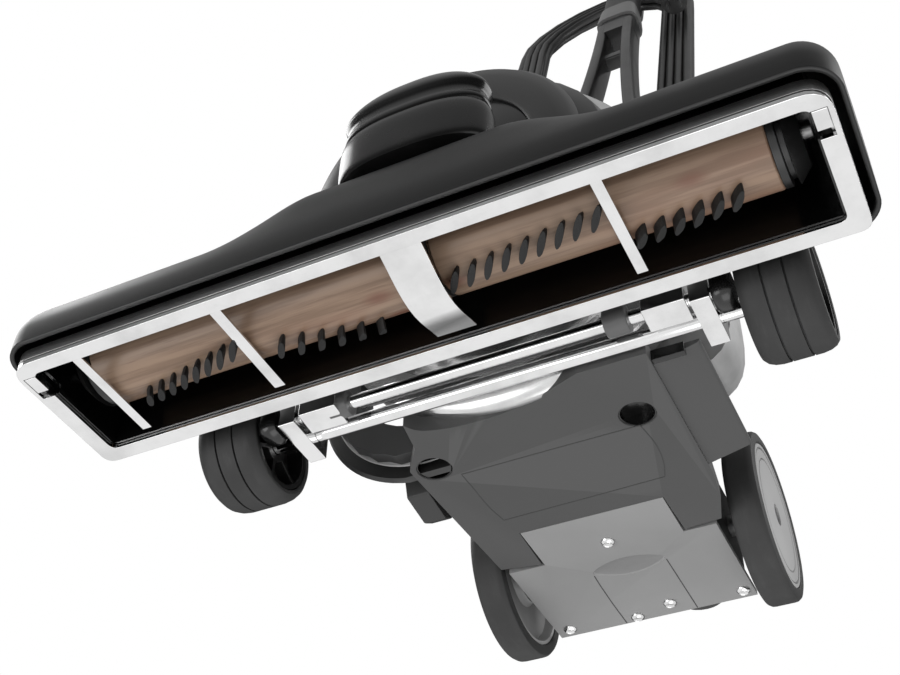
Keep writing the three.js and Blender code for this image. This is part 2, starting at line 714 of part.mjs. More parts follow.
// ---- chassis ----
function trayOutline() {
  const p = platePatch;
  const shape = new THREE.Shape();
  shape.moveTo(-63, 158);
  shape.lineTo(-50, 141);
  shape.lineTo(-46, 130);
  shape.quadraticCurveTo(-20, 139, 14, 131.5);
  shape.quadraticCurveTo(34, 126, 42, 121.5);
  shape.lineTo(76, 121.5);
  shape.lineTo(76, 222);
  shape.lineTo(68, 262);
  shape.lineTo(p.neckRight + 1.2, 263.5);
  shape.lineTo(p.neckRight + restGap, p.front - restGap);
  shape.lineTo(p.neckLeft - restGap, p.front - restGap);
  shape.lineTo(p.neckLeft - 1.2, 264);
  shape.lineTo(-58, 260);
  shape.closePath();
  return shape;
}

function lowerCover() {
  const top = bellyZ + trayHeight;
  const slab = solidFrom(alongZ(trayOutline(), bellyZ, top, 10));
  const pocketSection = new THREE.Shape();
  pocketSection.moveTo(74, bellyZ + 1);
  pocketSection.lineTo(99, bellyZ + 7);
  pocketSection.lineTo(99, bellyZ + trayHeight);
  pocketSection.lineTo(74, top);
  pocketSection.closePath();
  const pocket = new THREE.ExtrudeGeometry(pocketSection, { depth: 84, bevelEnabled: false })
    .rotateX(Math.PI / 2).translate(0, 216, 0);
  const hollow = solidFrom(block(-48, 66, chassisFront - 2, 226, bellyZ + trayWall, top + 1));
  const holes = [[-50.6, 161], [57.4, 162]].map(([x, y]) => solidFrom(
    rod(8.5, bellyZ - 1, bellyZ + 6.5, 'z', x, y, 0)));
  const flangeRoom = solidFrom(rod(flangeRadius + restGap, outletFront - 1, outletFront + outletDepth + 22, 'y',
    outletX, 0, outletZ, facet));
  const caseRoom = solidFrom(turned(caseProfile(restGap), 'y', bodyX, 0, motorZ));
  return slab.add(solidFrom(pocket)).subtract(hollow).subtract(joined(holes)).subtract(flangeRoom)
    .subtract(caseRoom);
}

function rearPlate() {
  const p = platePatch;
  const shape = outline2([[p.left, p.rear], [p.left, p.step], [p.neckLeft, p.step], [p.neckLeft, p.front],
    [p.neckRight, p.front], [p.neckRight, p.step], [p.right, p.step], [p.right, p.rear]]);
  const plate = solidFrom(alongZ(shape, bellyZ, bellyZ + rearPlateThickness));
  const scoop = turned([[0, -10], [19, -10], [21, -2], [14, 3.6], [0, 4.4]], 'z', 14, 302, bellyZ - 2.6, 32);
  return plate.subtract(solidFrom(scoop.scale(1, 1, 0.45).translate(0, 0, bellyZ * 0.55 - 2.2)));
}

function chassis() {
  const floor = bellyZ + rearPlateThickness + restGap;
  const outline = roundedOutline(chassisLeft, chassisRight, chassisFront, chassisRear, 8, 14);
  const base = solidFrom(alongZ(outline, bellyZ + trayHeight + restGap, chassisTop, 6));
  const rearBlock = solidFrom(block(chassisLeft, chassisRight, 267, chassisRear - 14, floor, chassisTop - 1));
  const lug = solidFrom(rod(14, floor, floor + 14, 'z', 32, chassisRear - 2, 0, 24));
  const axleBore = solidFrom(rod(rearAxleRadius + runGap, -200, 200, 'x', 0, rearY, rearRadius));
  const bay = solidFrom(block(chassisLeft + 6, chassisRight - 6, chassisFront + 6, rearY - 30,
    bellyZ + trayHeight - 1, chassisTop - 5));
  const motorRoom = solidFrom(rod(motorRadius + restGap, motorFront, motorRear + 5, 'y', bodyX, 0, motorZ, facet));
  const pedalRoom = solidFrom(block(bodyX - 30, bodyX + 30, chassisRear - 34, chassisRear + 1, chassisTop - 8,
    chassisTop + 5));
  const saddle = solidFrom(block(bodyX - 36, bodyX + 40, chassisFront, chassisFront + 24, chassisTop - 5, 96));
  return joined([base, rearBlock, lug]).subtract(axleBore).subtract(bay).add(saddle).subtract(motorRoom)
    .subtract(pedalRoom);
}

// ---- front carriage ----
const pivotBarY = frontY - pivotOffset;
const armSides = { left: -1, right: 1 };

function pivotBar() {
  const reach = armInner + armWidth + 10;
  return rod(pivotBarRadius, -reach, reach, 'x', bodyX, pivotBarY, frontRadius);
}

function barEnd(side) {
  const start = armInner + armWidth + 1;
  const loops = [0, 2, 7, 9].map((step, k) => ovalLoop(16, k === 0 || k === 3 ? 7 : 8.5, k === 0 || k === 3 ? 8 : 9.5,
    3, (u, v) => new THREE.Vector3(bodyX + side * (start + step), pivotBarY - 3 + u, frontRadius - 3 + v)));
  const bore = rod(pivotBarRadius + restGap, -400, 400, 'x', 0, pivotBarY, frontRadius);
  return solidFrom(loft(loops)).subtract(solidFrom(bore));
}

function carriageArm(side) {
  const section = new THREE.Shape();
  section.moveTo(pivotBarY - 8, frontRadius - 9);
  section.lineTo(frontY + 9, frontRadius - 9);
  section.lineTo(frontY + 9, frontRadius + 8);
  section.lineTo(pivotBarY - 4, frontRadius + 10);
  section.lineTo(pivotBarY - 8, frontRadius + 4);
  section.closePath();
  const x0 = bodyX + side * armInner;
  const x1 = bodyX + side * (armInner + armWidth);
  const bores = [[pivotBarRadius + runGap, pivotBarY], [frontAxleRadius + restGap, frontY]];
  return bores.reduce((arm, [radius, y]) => arm.subtract(
    solidFrom(rod(radius, -400, 400, 'x', 0, y, frontRadius))),
  solidFrom(alongX(section, Math.min(x0, x1), Math.max(x0, x1))));
}

function frontAxle() {
  const reach = frontInner + frontWidth - 6;
  return rod(frontAxleRadius, -reach, reach, 'x', bodyX, frontY, frontRadius);
}

// A fixed bracket behind the nozzle that holds the pivot bar.
function barBracket(side) {
  const x0 = bodyX + side * (armInner - 22);
  const x1 = bodyX + side * (armInner - 2);
  const section = outline2([[pivotBarY - 8, frontRadius - 6], [pivotBarY + 6, frontRadius - 7],
    [pivotBarY + 7, frontRadius + 14], [98 + 8, 62], [98 + restGap, 62], [98 + restGap, frontRadius + 12],
    [pivotBarY - 8, frontRadius + 10]]);
  const plate = solidFrom(alongX(section, Math.min(x0, x1), Math.max(x0, x1)));
  return plate.subtract(solidFrom(rod(pivotBarRadius + restGap, -400, 400, 'x', 0, pivotBarY, frontRadius)));
}

// ---- wheels ----
function frontTyre(side) {
  const bore = frontRadius - 5.5;
  const w = frontWidth;
  const groove = 1.4;
  const rings = [[bore, 0], [frontRadius - 4, 0], [frontRadius, 7], [frontRadius, w * 0.34],
    [frontRadius - groove, w * 0.36], [frontRadius, w * 0.38], [frontRadius, w * 0.62],
    [frontRadius - groove, w * 0.64], [frontRadius, w * 0.66], [frontRadius, w - 7], [frontRadius - 4, w],
    [bore, w], [bore, 0]];
  const placed = rings.map(([r, s]) => [r * flatten, side * (frontInner + s)]);
  return turned(placed, 'x', bodyX, frontY, frontRadius);
}

function frontHub(side) {
  const rimOuter = frontRadius - 5.5 - restGap;
  const x0 = side > 0 ? frontInner + 1 : -frontInner - frontWidth + 1;
  const x1 = x0 + frontWidth - 2;
  const webX = side > 0 ? [x0 + 9, x0 + 12] : [x1 - 12, x1 - 9];
  const rim = turned([[rimOuter - 2.5, x0], [rimOuter, x0], [rimOuter, x1], [rimOuter - 2.5, x1],
    [rimOuter - 2.5, x0]], 'x', bodyX, frontY, frontRadius, 24);
  const boss = rod(8, x0 + 3, x1 - 3, 'x', bodyX, frontY, frontRadius, 16);
  const web = rod(rimOuter - 1, webX[0], webX[1], 'x', bodyX, frontY, frontRadius, 24);
  const spokes = Array.from({ length: 6 }, (_, k) => solidFrom(
    block(bodyX + x0 + 3, bodyX + x1 - 3, -1, 1, 6, rimOuter - 1)
      .rotateX((Math.PI * k) / 3).translate(0, frontY, frontRadius)));
  const bore = solidFrom(rod(frontAxleRadius + runGap, -400, 400, 'x', 0, frontY, frontRadius));
  return joined([solidFrom(rim), solidFrom(boss), solidFrom(web), ...spokes]).subtract(bore);
}

function rearTyre(side) {
  const bore = rearRadius - 7;
  const w = rearWidth;
  const rings = [[bore, 0], [rearRadius - 3, 0], [rearRadius, 3.5], [rearRadius, w - 3.5], [rearRadius - 3, w],
    [bore, w], [bore, 0]];
  const placed = rings.map(([r, s]) => [r * flatten, side * (rearInner + s)]);
  return turned(placed, 'x', bodyX, rearY, rearRadius, facet);
}

function rearDisc(side) {
  const outer = rearRadius - 7 - restGap;
  const bore = rearAxleRadius + restGap;
  const w = rearWidth;
  const rings = [[bore, 2], [16, 2], [18, 6], [outer - 4, 6], [outer - 2, 1], [outer, 1], [outer, w - 0.5],
    [outer - 2.6, w - 0.5], [outer - 3.2, w - 1.6], [outer - 4, w - 0.8], [bore, w - 0.6], [bore, 2]];
  const placed = rings.map(([r, s]) => [r, side * (rearInner + s)]);
  return turned(placed, 'x', bodyX, rearY, rearRadius, facet);
}

function rearAxle() {
  const reach = rearInner + rearWidth - 1.6;
  return rod(rearAxleRadius, -reach, reach, 'x', bodyX, rearY, rearRadius, 16);
}

// ---- pedals ----
function heightPedal() {
  const section = outline2([[180, 44], [185, 30], [206, 27], [214, 32], [217, 45], [200, 50]]);
  const peg = rod(5, -70, chassisLeft - restGap, 'x', 0, 200, 42);
  return solidFrom(alongX(section, -79, -66)).add(solidFrom(peg));
}

function drivePedal() {
  const y0 = chassisRear - 34 + restGap;
  const outline = roundedOutline(bodyX - 27, bodyX + 27, y0, chassisRear - 2, 5, 5);
  const pad = solidFrom(alongZ(outline, chassisTop - 3, chassisTop + 2, 4));
  const ribs = [-1, 0, 1].map((k) => solidFrom(block(bodyX - 22, bodyX + 22, y0 + 14 + 8 * k, y0 + 17 + 8 * k,
    chassisTop + 1, chassisTop + 3.2)));
  return joined([pad, ...ribs]);
}

// ---- handle, in its own frame: z runs along the handle from its pivot, y towards the rear ----
function legMiddle(w) {
  const t = THREE.MathUtils.clamp((w - 70) / (forkTop - 70), 0, 1);
  return 12 + (legFoot - 12) * (1 - t) ** 1.9;
}

function forkLeg(side) {
  const stations = [-14, 30, 75, 120, 170, 230, 310, 420, forkTop - 10];
  const loops = stations.map((w) => ovalLoop(12, legWidth / 2, legDepth / 2, 4,
    (u, v) => new THREE.Vector3(side * legMiddle(w) + u, v, w)));
  return solidFrom(loft(loops));
}

function handleFork() {
  const neck = solidFrom(loft([forkTop - 34, forkTop].map((w) => ovalLoop(20, neckHalf, legDepth / 2, 4,
    (u, v) => new THREE.Vector3(u, v, w)))));
  const cross = solidFrom(block(-16, 16, -5, 8, forkTop - 88, forkTop - 76));
  const feet = [-1, 1].map((side) => {
    const inner = legFoot - legWidth / 2;
    const outer = legFoot + legWidth / 2;
    return solidFrom(rod(17, Math.min(side * inner, side * outer), Math.max(side * inner, side * outer), 'x', 0, 0, 0,
      32));
  });
  const bore = solidFrom(rod(trunnionRadius + runGap, -200, 200, 'x', 0, 0, 0));
  return joined([forkLeg(-1), forkLeg(1), neck, cross, ...feet]).subtract(bore);
}

function collar() {
  const from = forkTop + restGap;
  const rings = [[from, 20, 15.5], [from + 6, 20, 15.5], [from + collarHeight - restGap, 18, 15]];
  return loft(rings.map(([w, a, b]) => ovalLoop(24, a, b, 4, (u, v) => new THREE.Vector3(u, v, w))));
}

const tubeStart = forkTop + collarHeight + restGap;
const tubeEnd = tubeStart + tubeLength;

function handleTube() {
  const stations = [0, 0.25, 0.5, 0.75, 1];
  return loft(stations.map((t) => ovalLoop(24, tubeHalfWidth - 3 * t, tubeHalfDepth, 3,
    (u, v) => new THREE.Vector3(u, v, tubeStart + tubeLength * t))));
}

// The grip rises and bends back over the tube.
function grip() {
  const start = tubeEnd + restGap;
  const steps = 9;
  const loops = [];
  for (let k = 0; k <= steps; k += 1) {
    const t = k / steps;
    const bend = (Math.PI / 3) * t;
    const reach = gripLength / (Math.PI / 3);
    const y = reach * (1 - Math.cos(bend)) * (gripBack / (reach / 2));
    const w = start + reach * Math.sin(bend);
    const scale = t < 0.9 ? 1 + 0.1 * Math.sin(Math.PI * t) : 0.85;
    loops.push(ovalLoop(16, 14.5 * scale, 14 * scale, 2.4, (u, v) => new THREE.Vector3(
      u, y + v * Math.cos(bend * 0.8), w - v * Math.sin(bend * 0.8))));
  }
  return solidFrom(loft(loops)).subtract(solidFrom(block(-8, 8, -20, -6.5, start + 18, start + 48)));
}

function switchRocker() {
  const start = tubeEnd + restGap + 18 + restGap + 0.5;
  const section = outline2([[-9, start], [-16.5, start + 3], [-15.5, start + 14.6], [-18, start + 26], [-9, start + 28]]);
  return alongX(section, -7, 7);
}

// A flat hook whose arm the cord hangs on; it turns about its peg.
function cordHook() {
  const w = hankTop + Math.sqrt(hankInner ** 2 - (pegX - hankX) ** 2) - 6.5;
  const back = hankFront + hankDepth + 2;
  const peg = solidFrom(rod(5, tubeHalfDepth + restGap, back + 2, 'y', pegX, 0, w));
  const plate = loft([back, back + 4.5].map((depth) => ovalLoop(20, 11, 30, 4,
    (u, v) => new THREE.Vector3(pegX + u, depth, w + 20 + v))));
  return peg.add(solidFrom(plate));
}

// ---- cord on the handle ----
function stadium(radius) {
  const outline = new THREE.Path();
  outline.absarc(hankX, hankTop, radius, 0, Math.PI, false);
  outline.absarc(hankX, hankBottom, radius, Math.PI, 2 * Math.PI, false);
  outline.closePath();
  return outline;
}

const cordY = hankFront + hankDepth / 2;
const tailEnd = hankTop + Math.sqrt(hankOuter ** 2 - (tailX - hankX) ** 2) + cordDiameter / 2 + 1;
const tailStart = tailEnd + 34;

function cordHank() {
  const outer = new THREE.Shape(stadium(hankOuter).getPoints(12));
  outer.holes.push(new THREE.Path(stadium(hankInner).getPoints(12)));
  const coil = new THREE.ExtrudeGeometry(outer, { depth: hankDepth, bevelEnabled: false })
    .rotateX(Math.PI / 2).translate(0, hankFront + hankDepth, 0);
  const tail = rod(cordDiameter / 2, tailEnd - 8, tailStart, 'z', tailX, cordY, 0, 12);
  return solidFrom(coil).add(solidFrom(tail));
}

function strainRelief() {
  const from = tailStart + restGap;
  const sleeve = turned([[0, from], [5, from], [8, from + reliefLength], [0, from + reliefLength]], 'z',
    tailX, cordY, 0, 20);
  const foot = block(tailX - 8, tailX + 8, tubeHalfDepth + restGap + 0.5, cordY, from + reliefLength - 14,
    from + reliefLength);
  return solidFrom(sleeve).add(solidFrom(foot));
}

const plugY = hankFront - plugRadius - 2;

function plug() {
  const top = plugHeight + plugBody;
  const body = solidFrom(turned([[0, plugHeight], [plugRadius, plugHeight], [plugRadius, plugHeight + 12],
    [plugRadius - 3.5, plugHeight + 20], [plugRadius - 3, plugHeight + 28], [5, top], [0, top]], 'z',
  plugX, plugY, 0, 24));
  const blades = [-1, 1].map((side) => solidFrom(block(plugX + side * 6 - 0.8, plugX + side * 6 + 0.8,
    plugY - 3.2, plugY + 3.2, plugHeight - 17, plugHeight + 2)));
  return joined([body, ...blades, plugLead()]);
}

function plugLead() {
  const top = plugHeight + plugBody - 3;
  const route = new THREE.CatmullRomCurve3([
    new THREE.Vector3(plugX, plugY, top),
    new THREE.Vector3(plugX, plugY + 0.6, top + 14),
    new THREE.Vector3(plugX - 3, plugY + 5, top + 28),
    new THREE.Vector3(plugX - 8, hankFront - cordDiameter / 2 - 1, top + 40),
  ]);
  const circle = new THREE.Shape();
  circle.absarc(0, 0, cordDiameter / 2, 0, 2 * Math.PI, false);
  return solidFrom(new THREE.ExtrudeGeometry(circle, { steps: 6, extrudePath: route, curveSegments: 5 }));
}

// ---- the assembly ----
piece('bottom_plate', bottomPlate(), chrome);
piece('nozzle_rim', nozzleRim(), brushed);
piece('roller_housing', rollerHousing(), glossBlack);
piece('nozzle_hood', nozzleHood(), blackPlastic);
piece('belt_guard', guardStrap(beltGuardX, beltGuardWidth, beltGuardBow), chrome);
for (const [name, [x, width]] of Object.entries(guardBars)) piece(name, guardStrap(x, width, 0), chrome);
piece('plate_latch_left', plateLatch(-1), chrome);
piece('plate_latch_right', plateLatch(1), chrome);

const axleReach = woodHalf + capLength + 4;
piece('roller_axle', rod(rollerAxleRadius, -axleReach, axleReach, 'x', 0, rollerY, rollerZ), steel);
piece('roller_body', rollerBody(), wood);
piece('roller_cap_left', rollerCap(-1), darkPlastic);
piece('roller_cap_right', rollerCap(1), darkPlastic);
piece('bristles_left', bristleRows(-1), bristle);
piece('bristles_right', bristleRows(1), bristle);
piece('drive_belt', driveBelt(), rubber);

piece('lamp_lens', lampLens(), clearLens);
piece('lamp_cap', lampCap(), glossBlack);
piece('lamp_bulb', bulb(), finish(0xf2efe6, 0.1, 0));

piece('fan_case', fanCase(), castAlloy);
piece('fan_cover', fanCover(), blackPlastic);
piece('fan', fan(), midPlastic);
piece('motor_shaft', motorShaft(), steel);
piece('motor_housing', motorHousing(), darkPlastic);
piece('motor_stator', stator(), steel);
piece('exhaust_outlet', exhaustOutlet(), darkPlastic);
piece('outlet_flange', outletFlange(), midPlastic);
piece('side_cowl', sideCowl(), castAlloy);

piece('lower_cover', lowerCover(), darkPlastic);
piece('rear_plate', rearPlate(), midPlastic);
piece('chassis', chassis(), darkPlastic);

piece('pivot_bar', pivotBar(), chrome);
piece('front_axle', frontAxle(), chrome);
for (const [name, side] of Object.entries(armSides)) {
  piece(`bar_end_${name}`, barEnd(side), glossBlack);
  piece(`bar_bracket_${name}`, barBracket(side), chrome);
  piece(`carriage_arm_${name}`, carriageArm(side), chrome);
  piece(`front_tyre_${name}`, frontTyre(side), rubber);
  piece(`front_hub_${name}`, frontHub(side), blackPlastic);
  piece(`rear_tyre_${name}`, rearTyre(side), rubber);
  piece(`rear_disc_${name}`, rearDisc(side), midPlastic);
}
piece('rear_axle', rearAxle(), steel);
piece('height_pedal', heightPedal(), darkPlastic);
piece('drive_pedal', drivePedal(), blackPlastic);

piece('handle_fork', handleFork(), blackPlastic, handleGroup);
piece('handle_collar', collar(), midPlastic, handleGroup);
piece('handle_tube', handleTube(), darkPlastic, handleGroup);
piece('handle_grip', grip(), blackPlastic, handleGroup);
piece('switch_rocker', switchRocker(), midPlastic, handleGroup);
piece('cord_hook', cordHook(), blackPlastic, handleGroup);
piece('strain_relief', strainRelief(), cordRubber, handleGroup);
piece('cord_hank', cordHank(), cordRubber, handleGroup);
piece('plug', plug(), cordRubber, handleGroup);

// The origin: the floor under the middle of the object's overall box, without the cord.
const cordPieces = new Set(['cord_hank', 'plug']);
const extent = new THREE.Box3();
model.updateMatrixWorld(true);
model.traverse((object) => {
  if (object.isMesh && !cordPieces.has(object.name)) extent.expandByObject(object, true);
});
model.position.y = -(extent.min.y + extent.max.y) / 2;

export default model;
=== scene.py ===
"""Upright roller sweeper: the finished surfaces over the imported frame."""

import logging
import math
import random
from dataclasses import dataclass, field
from enum import Enum
from typing import Callable, Dict, List, Sequence, Tuple, Union

import bmesh
import bpy
from mathutils import Matrix, Vector


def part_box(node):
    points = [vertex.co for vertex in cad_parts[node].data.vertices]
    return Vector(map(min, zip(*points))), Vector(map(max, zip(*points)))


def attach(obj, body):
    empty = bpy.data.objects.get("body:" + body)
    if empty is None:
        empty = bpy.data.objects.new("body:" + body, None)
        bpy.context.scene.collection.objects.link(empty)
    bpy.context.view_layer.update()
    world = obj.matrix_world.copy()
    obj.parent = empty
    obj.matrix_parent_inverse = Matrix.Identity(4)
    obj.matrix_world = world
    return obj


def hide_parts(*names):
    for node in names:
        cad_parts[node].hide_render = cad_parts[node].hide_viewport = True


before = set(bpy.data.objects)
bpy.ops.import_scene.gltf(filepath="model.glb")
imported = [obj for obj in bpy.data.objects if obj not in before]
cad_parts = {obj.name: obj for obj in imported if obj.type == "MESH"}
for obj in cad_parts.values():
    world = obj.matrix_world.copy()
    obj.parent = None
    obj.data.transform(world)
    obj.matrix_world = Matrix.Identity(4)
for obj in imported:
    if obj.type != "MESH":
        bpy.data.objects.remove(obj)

LOG = logging.getLogger("sweeper")
MM = 0.001
Point = Tuple[float, float, float]
Pair = Tuple[float, float]
Number = Union[int, float]

BODY_X = 6.2  # middle of the case, the motor and the handle, from the nozzle's middle
LEAN = math.atan(1.0 / 3.0)  # the handle's backward lean
PIVOT = (BODY_X, 216.0, 121.0)  # the handle's pivot


class Axis(Enum):
    """The three directions a turned piece may lie along."""

    X = "x"
    Y = "y"
    Z = "z"


class Bench:
    """Places bench millimetres, counted from the front of the bottom plate, in the frame."""

    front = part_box("bottom_plate")[0].y

    @classmethod
    def at(cls, x: Number, y: Number, z: Number) -> Vector:
        """Returns the frame position, in metres, of a bench point in millimetres."""
        return Vector((x * MM, cls.front + y * MM, z * MM))

    @classmethod
    def handle(cls, across: Number, back: Number, along: Number) -> Vector:
        """Returns the frame position of a point given along the leaning handle.

        Args:
            across: millimetres to the right of the handle's middle.
            back: millimetres behind the handle's middle plane.
            along: millimetres up the handle from its pivot.

        Returns:
            The position in metres.
        """
        y = PIVOT[1] + along * math.sin(LEAN) + back * math.cos(LEAN)
        z = PIVOT[2] + along * math.cos(LEAN) - back * math.sin(LEAN)
        return cls.at(PIVOT[0] + across, y, z)


# ---------------------------------------------------------------------------
# shader maths


class Value:
    """A socket, or a number, that can be used in sums."""

    def __init__(self, tree: "Tree", source: Union[Number, bpy.types.NodeSocket]) -> None:
        """Wraps source, which belongs to tree."""
        self.tree = tree
        self.source = source

    def _math(self, operation: str, first: object, second: object) -> "Value":
        """Returns a Math node's result for two values."""
        return self.tree.node("ShaderNodeMath", {"operation": operation}, {0: first, 1: second})

    def __add__(self, other: object) -> "Value":
        """Returns self + other."""
        return self._math("ADD", self, other)

    def __radd__(self, other: object) -> "Value":
        """Returns other + self."""
        return self._math("ADD", other, self)

    def __sub__(self, other: object) -> "Value":
        """Returns self - other."""
        return self._math("SUBTRACT", self, other)

    def __rsub__(self, other: object) -> "Value":
        """Returns other - self."""
        return self._math("SUBTRACT", other, self)

    def __mul__(self, other: object) -> "Value":
        """Returns self * other."""
        return self._math("MULTIPLY", self, other)

    def __rmul__(self, other: object) -> "Value":
        """Returns other * self."""
        return self._math("MULTIPLY", other, self)

    def ramp(self, low: Number, high: Number) -> "Value":
        """Returns 0 below low, 1 above high and a smooth rise between them.

        Args:
            low: where the rise starts.
            high: where the rise ends.

        Returns:
            The wrapped result.
        """
        return self.tree.node(
            "ShaderNodeMapRange",
            {"interpolation_type": "SMOOTHSTEP", "clamp": True},
            {"Value": self, "From Min": low, "From Max": high},
        )


class Tree:
    """A node tree, and the one way nodes are added to it."""

    def __init__(self, nodes: bpy.types.NodeTree) -> None:
        """Wraps a node tree."""
        self.tree = nodes

    def node(
        self,
        kind: str,
        settings: Dict[str, object],
        inputs: Dict[Union[int, str], object],
        output: Union[int, str, None] = 0,
    ) -> Value:
        """Adds a node.

        Args:
            kind: the node's Blender type.
            settings: properties set before anything else; "stops" fills a colour ramp.
            inputs: a value or a link for each named or numbered socket.
            output: the socket to hand back, or None for a node that has none.

        Returns:
            The wrapped output socket, or 0 in its place.
        """
        made = self.tree.nodes.new(kind)
        for key, setting in settings.items():
            if key == "stops":
                self._stops(made, setting)
            else:
                setattr(made, key, setting)
        for key, given in inputs.items():
            self.feed(made.inputs[key], given)
        return Value(self, 0.0 if output is None else made.outputs[output])

    def _stops(self, made: bpy.types.Node, stops: Sequence[Tuple[float, Sequence[float]]]) -> None:
        """Fills a colour ramp with (position, colour) stops.

        Args:
            made: the colour ramp node.
            stops: position and colour pairs, in order.
        """
        elements = made.color_ramp.elements
        while len(elements) < len(stops):
            elements.new(0.5)
        for element, (place, colour) in zip(elements, stops):
            element.position = place
            element.color = (*colour[:3], 1.0)

    def feed(self, socket: bpy.types.NodeSocket, given: object) -> None:
        """Links or sets one socket.

        Args:
            socket: the socket to set.
            given: a link, a number or a colour.
        """
        source = given.source if isinstance(given, Value) else given
        if isinstance(source, bpy.types.NodeSocket):
            self.tree.links.new(source, socket)
        elif isinstance(source, (tuple, list)) and len(source) == 3 and socket.type == "RGBA":
            socket.default_value = (*source, 1.0)
        else:
            socket.default_value = source


class Paint(Tree):
    """One material and the nodes that make it."""

    def __init__(self, name: str) -> None:
        """Starts a material.

        Args:
            name: the material's name.
        """
        self.material = bpy.data.materials.new(name)
        self.material.use_nodes = True
        super().__init__(self.material.node_tree)
        self.shader = self.tree.nodes["Principled BSDF"]

    def mix(self, first: object, second: object, amount: object) -> Value:
        """Returns the colour between first and second, by amount.

        Args:
            first: the colour at 0.
            second: the colour at 1.
            amount: the share of second.

        Returns:
            The mixed colour.
        """
        return self.node(
            "ShaderNodeMix", {"data_type": "RGBA"}, {0: amount, 6: first, 7: second}, output=2
        )

    def place(self, scale: Point = (1.0, 1.0, 1.0)) -> Value:
        """Returns the object's own coordinates, in metres, stretched by scale."""
        here = self.node("ShaderNodeTexCoord", {}, {}, output="Object")
        return self.node("ShaderNodeVectorMath", {"operation": "MULTIPLY"}, {0: here, 1: scale})

    def noise(self, scale: Number, detail: Number = 3.0,
              stretch: Point = (1.0, 1.0, 1.0)) -> Value:
        """Returns a cloudy value about 0.5, with scale counted per metre.

        Args:
            scale: clouds per metre.
            detail: how many finer layers are added.
            stretch: scale of each axis.

        Returns:
            The wrapped value.
        """
        return self.node(
            "ShaderNodeTexNoise",
            {},
            {"Vector": self.place(stretch), "Scale": scale, "Detail": detail, "Roughness": 0.55},
            output="Fac",
        )

    def bump(self, height: object, depth: Number, strength: Number = 1.0) -> Value:
        """Returns a normal that follows height over a depth in metres.

        Args:
            height: the height, from 0 to 1.
            depth: the depth of a full step, in metres.
            strength: the share of the effect.

        Returns:
            The wrapped normal.
        """
        return self.node(
            "ShaderNodeBump", {}, {"Height": height, "Distance": depth, "Strength": strength},
            output=0
        )

    def raised_edge_mask(self) -> Value:
        """Returns a value that is high on raised edges."""
        geometry = self.node("ShaderNodeNewGeometry", {}, {}, output="Pointiness")
        return geometry.ramp(0.5, 0.58)

    def surface(self, **sockets: object) -> bpy.types.Material:
        """Sets the shader's sockets.

        Args:
            **sockets: a value or a link by socket name, with underscores for spaces.

        Returns:
            The material.
        """
        for key, given in sockets.items():
            self.feed(self.shader.inputs[key.replace("_", " ")], given)
        return self.material


# ---------------------------------------------------------------------------
# finishes


def grey(level: float) -> Point:
    """Returns a neutral colour from a display level between 0 and 255.

    Args:
        level: the display level.

    Returns:
        The linear colour.
    """
    share = level / 255.0
    linear = share / 12.92 if share <= 0.04045 else ((share + 0.055) / 1.055) ** 2.4
    return (linear, linear, linear)


@dataclass(frozen=True)
class PolishedChrome:
    """Bright plating with faint ripples and smears."""

    name: str = "polished_chrome"
    level: float = 232.0
    roughness: float = 0.07

    def make(self) -> bpy.types.Material:
        """Makes the material.

        Returns:
            The material.
        """
        paint = Paint(self.name)
        smear = paint.noise(38.0, 4.0).ramp(0.35, 0.75)
        ripple = paint.noise(16.0, 2.0)
        return paint.surface(
            Base_Color=paint.mix(grey(self.level), grey(self.level - 18), smear),
            Metallic=1.0,
            Roughness=smear * 0.06 + self.roughness,
            Normal=paint.bump(ripple, 0.0006, 0.35),
        )


@dataclass(frozen=True)
class BrushedMetal:
    """Metal with fine scratches along one direction."""

    name: str = "brushed_metal"
    level: float = 205.0
    roughness: float = 0.28
    stretch: Point = (1.0, 60.0, 60.0)
    scale: float = 30.0

    def make(self) -> bpy.types.Material:
        """Makes the material.

        Returns:
            The material.
        """
        paint = Paint(self.name)
        lines = paint.noise(self.scale, 6.0, self.stretch)
        cloud = paint.noise(14.0, 3.0).ramp(0.3, 0.7)
        tone = paint.mix(grey(self.level), grey(self.level - 40), lines.ramp(0.35, 0.7))
        return paint.surface(
            Base_Color=paint.mix(tone, grey(self.level - 22), cloud * 0.5),
            Metallic=1.0,
            Roughness=lines * 0.14 + self.roughness,
            Normal=paint.bump(lines, 0.00005, 0.4),
        )


@dataclass(frozen=True)
class CastAlloy:
    """Polished casting with a soft orange peel."""

    name: str = "cast_alloy"
    level: float = 214.0
    roughness: float = 0.2
    metallic: float = 0.85

    def make(self) -> bpy.types.Material:
        """Makes the material.

        Returns:
            The material.
        """
        paint = Paint(self.name)
        cloud = paint.noise(22.0, 4.0)
        peel = paint.noise(420.0, 2.0)
        return paint.surface(
            Base_Color=paint.mix(grey(self.level), grey(self.level - 34), cloud.ramp(0.35, 0.7)),
            Metallic=self.metallic,
            Roughness=cloud * 0.14 + self.roughness,
            Normal=paint.bump(peel, 0.00004, 0.5),
        )


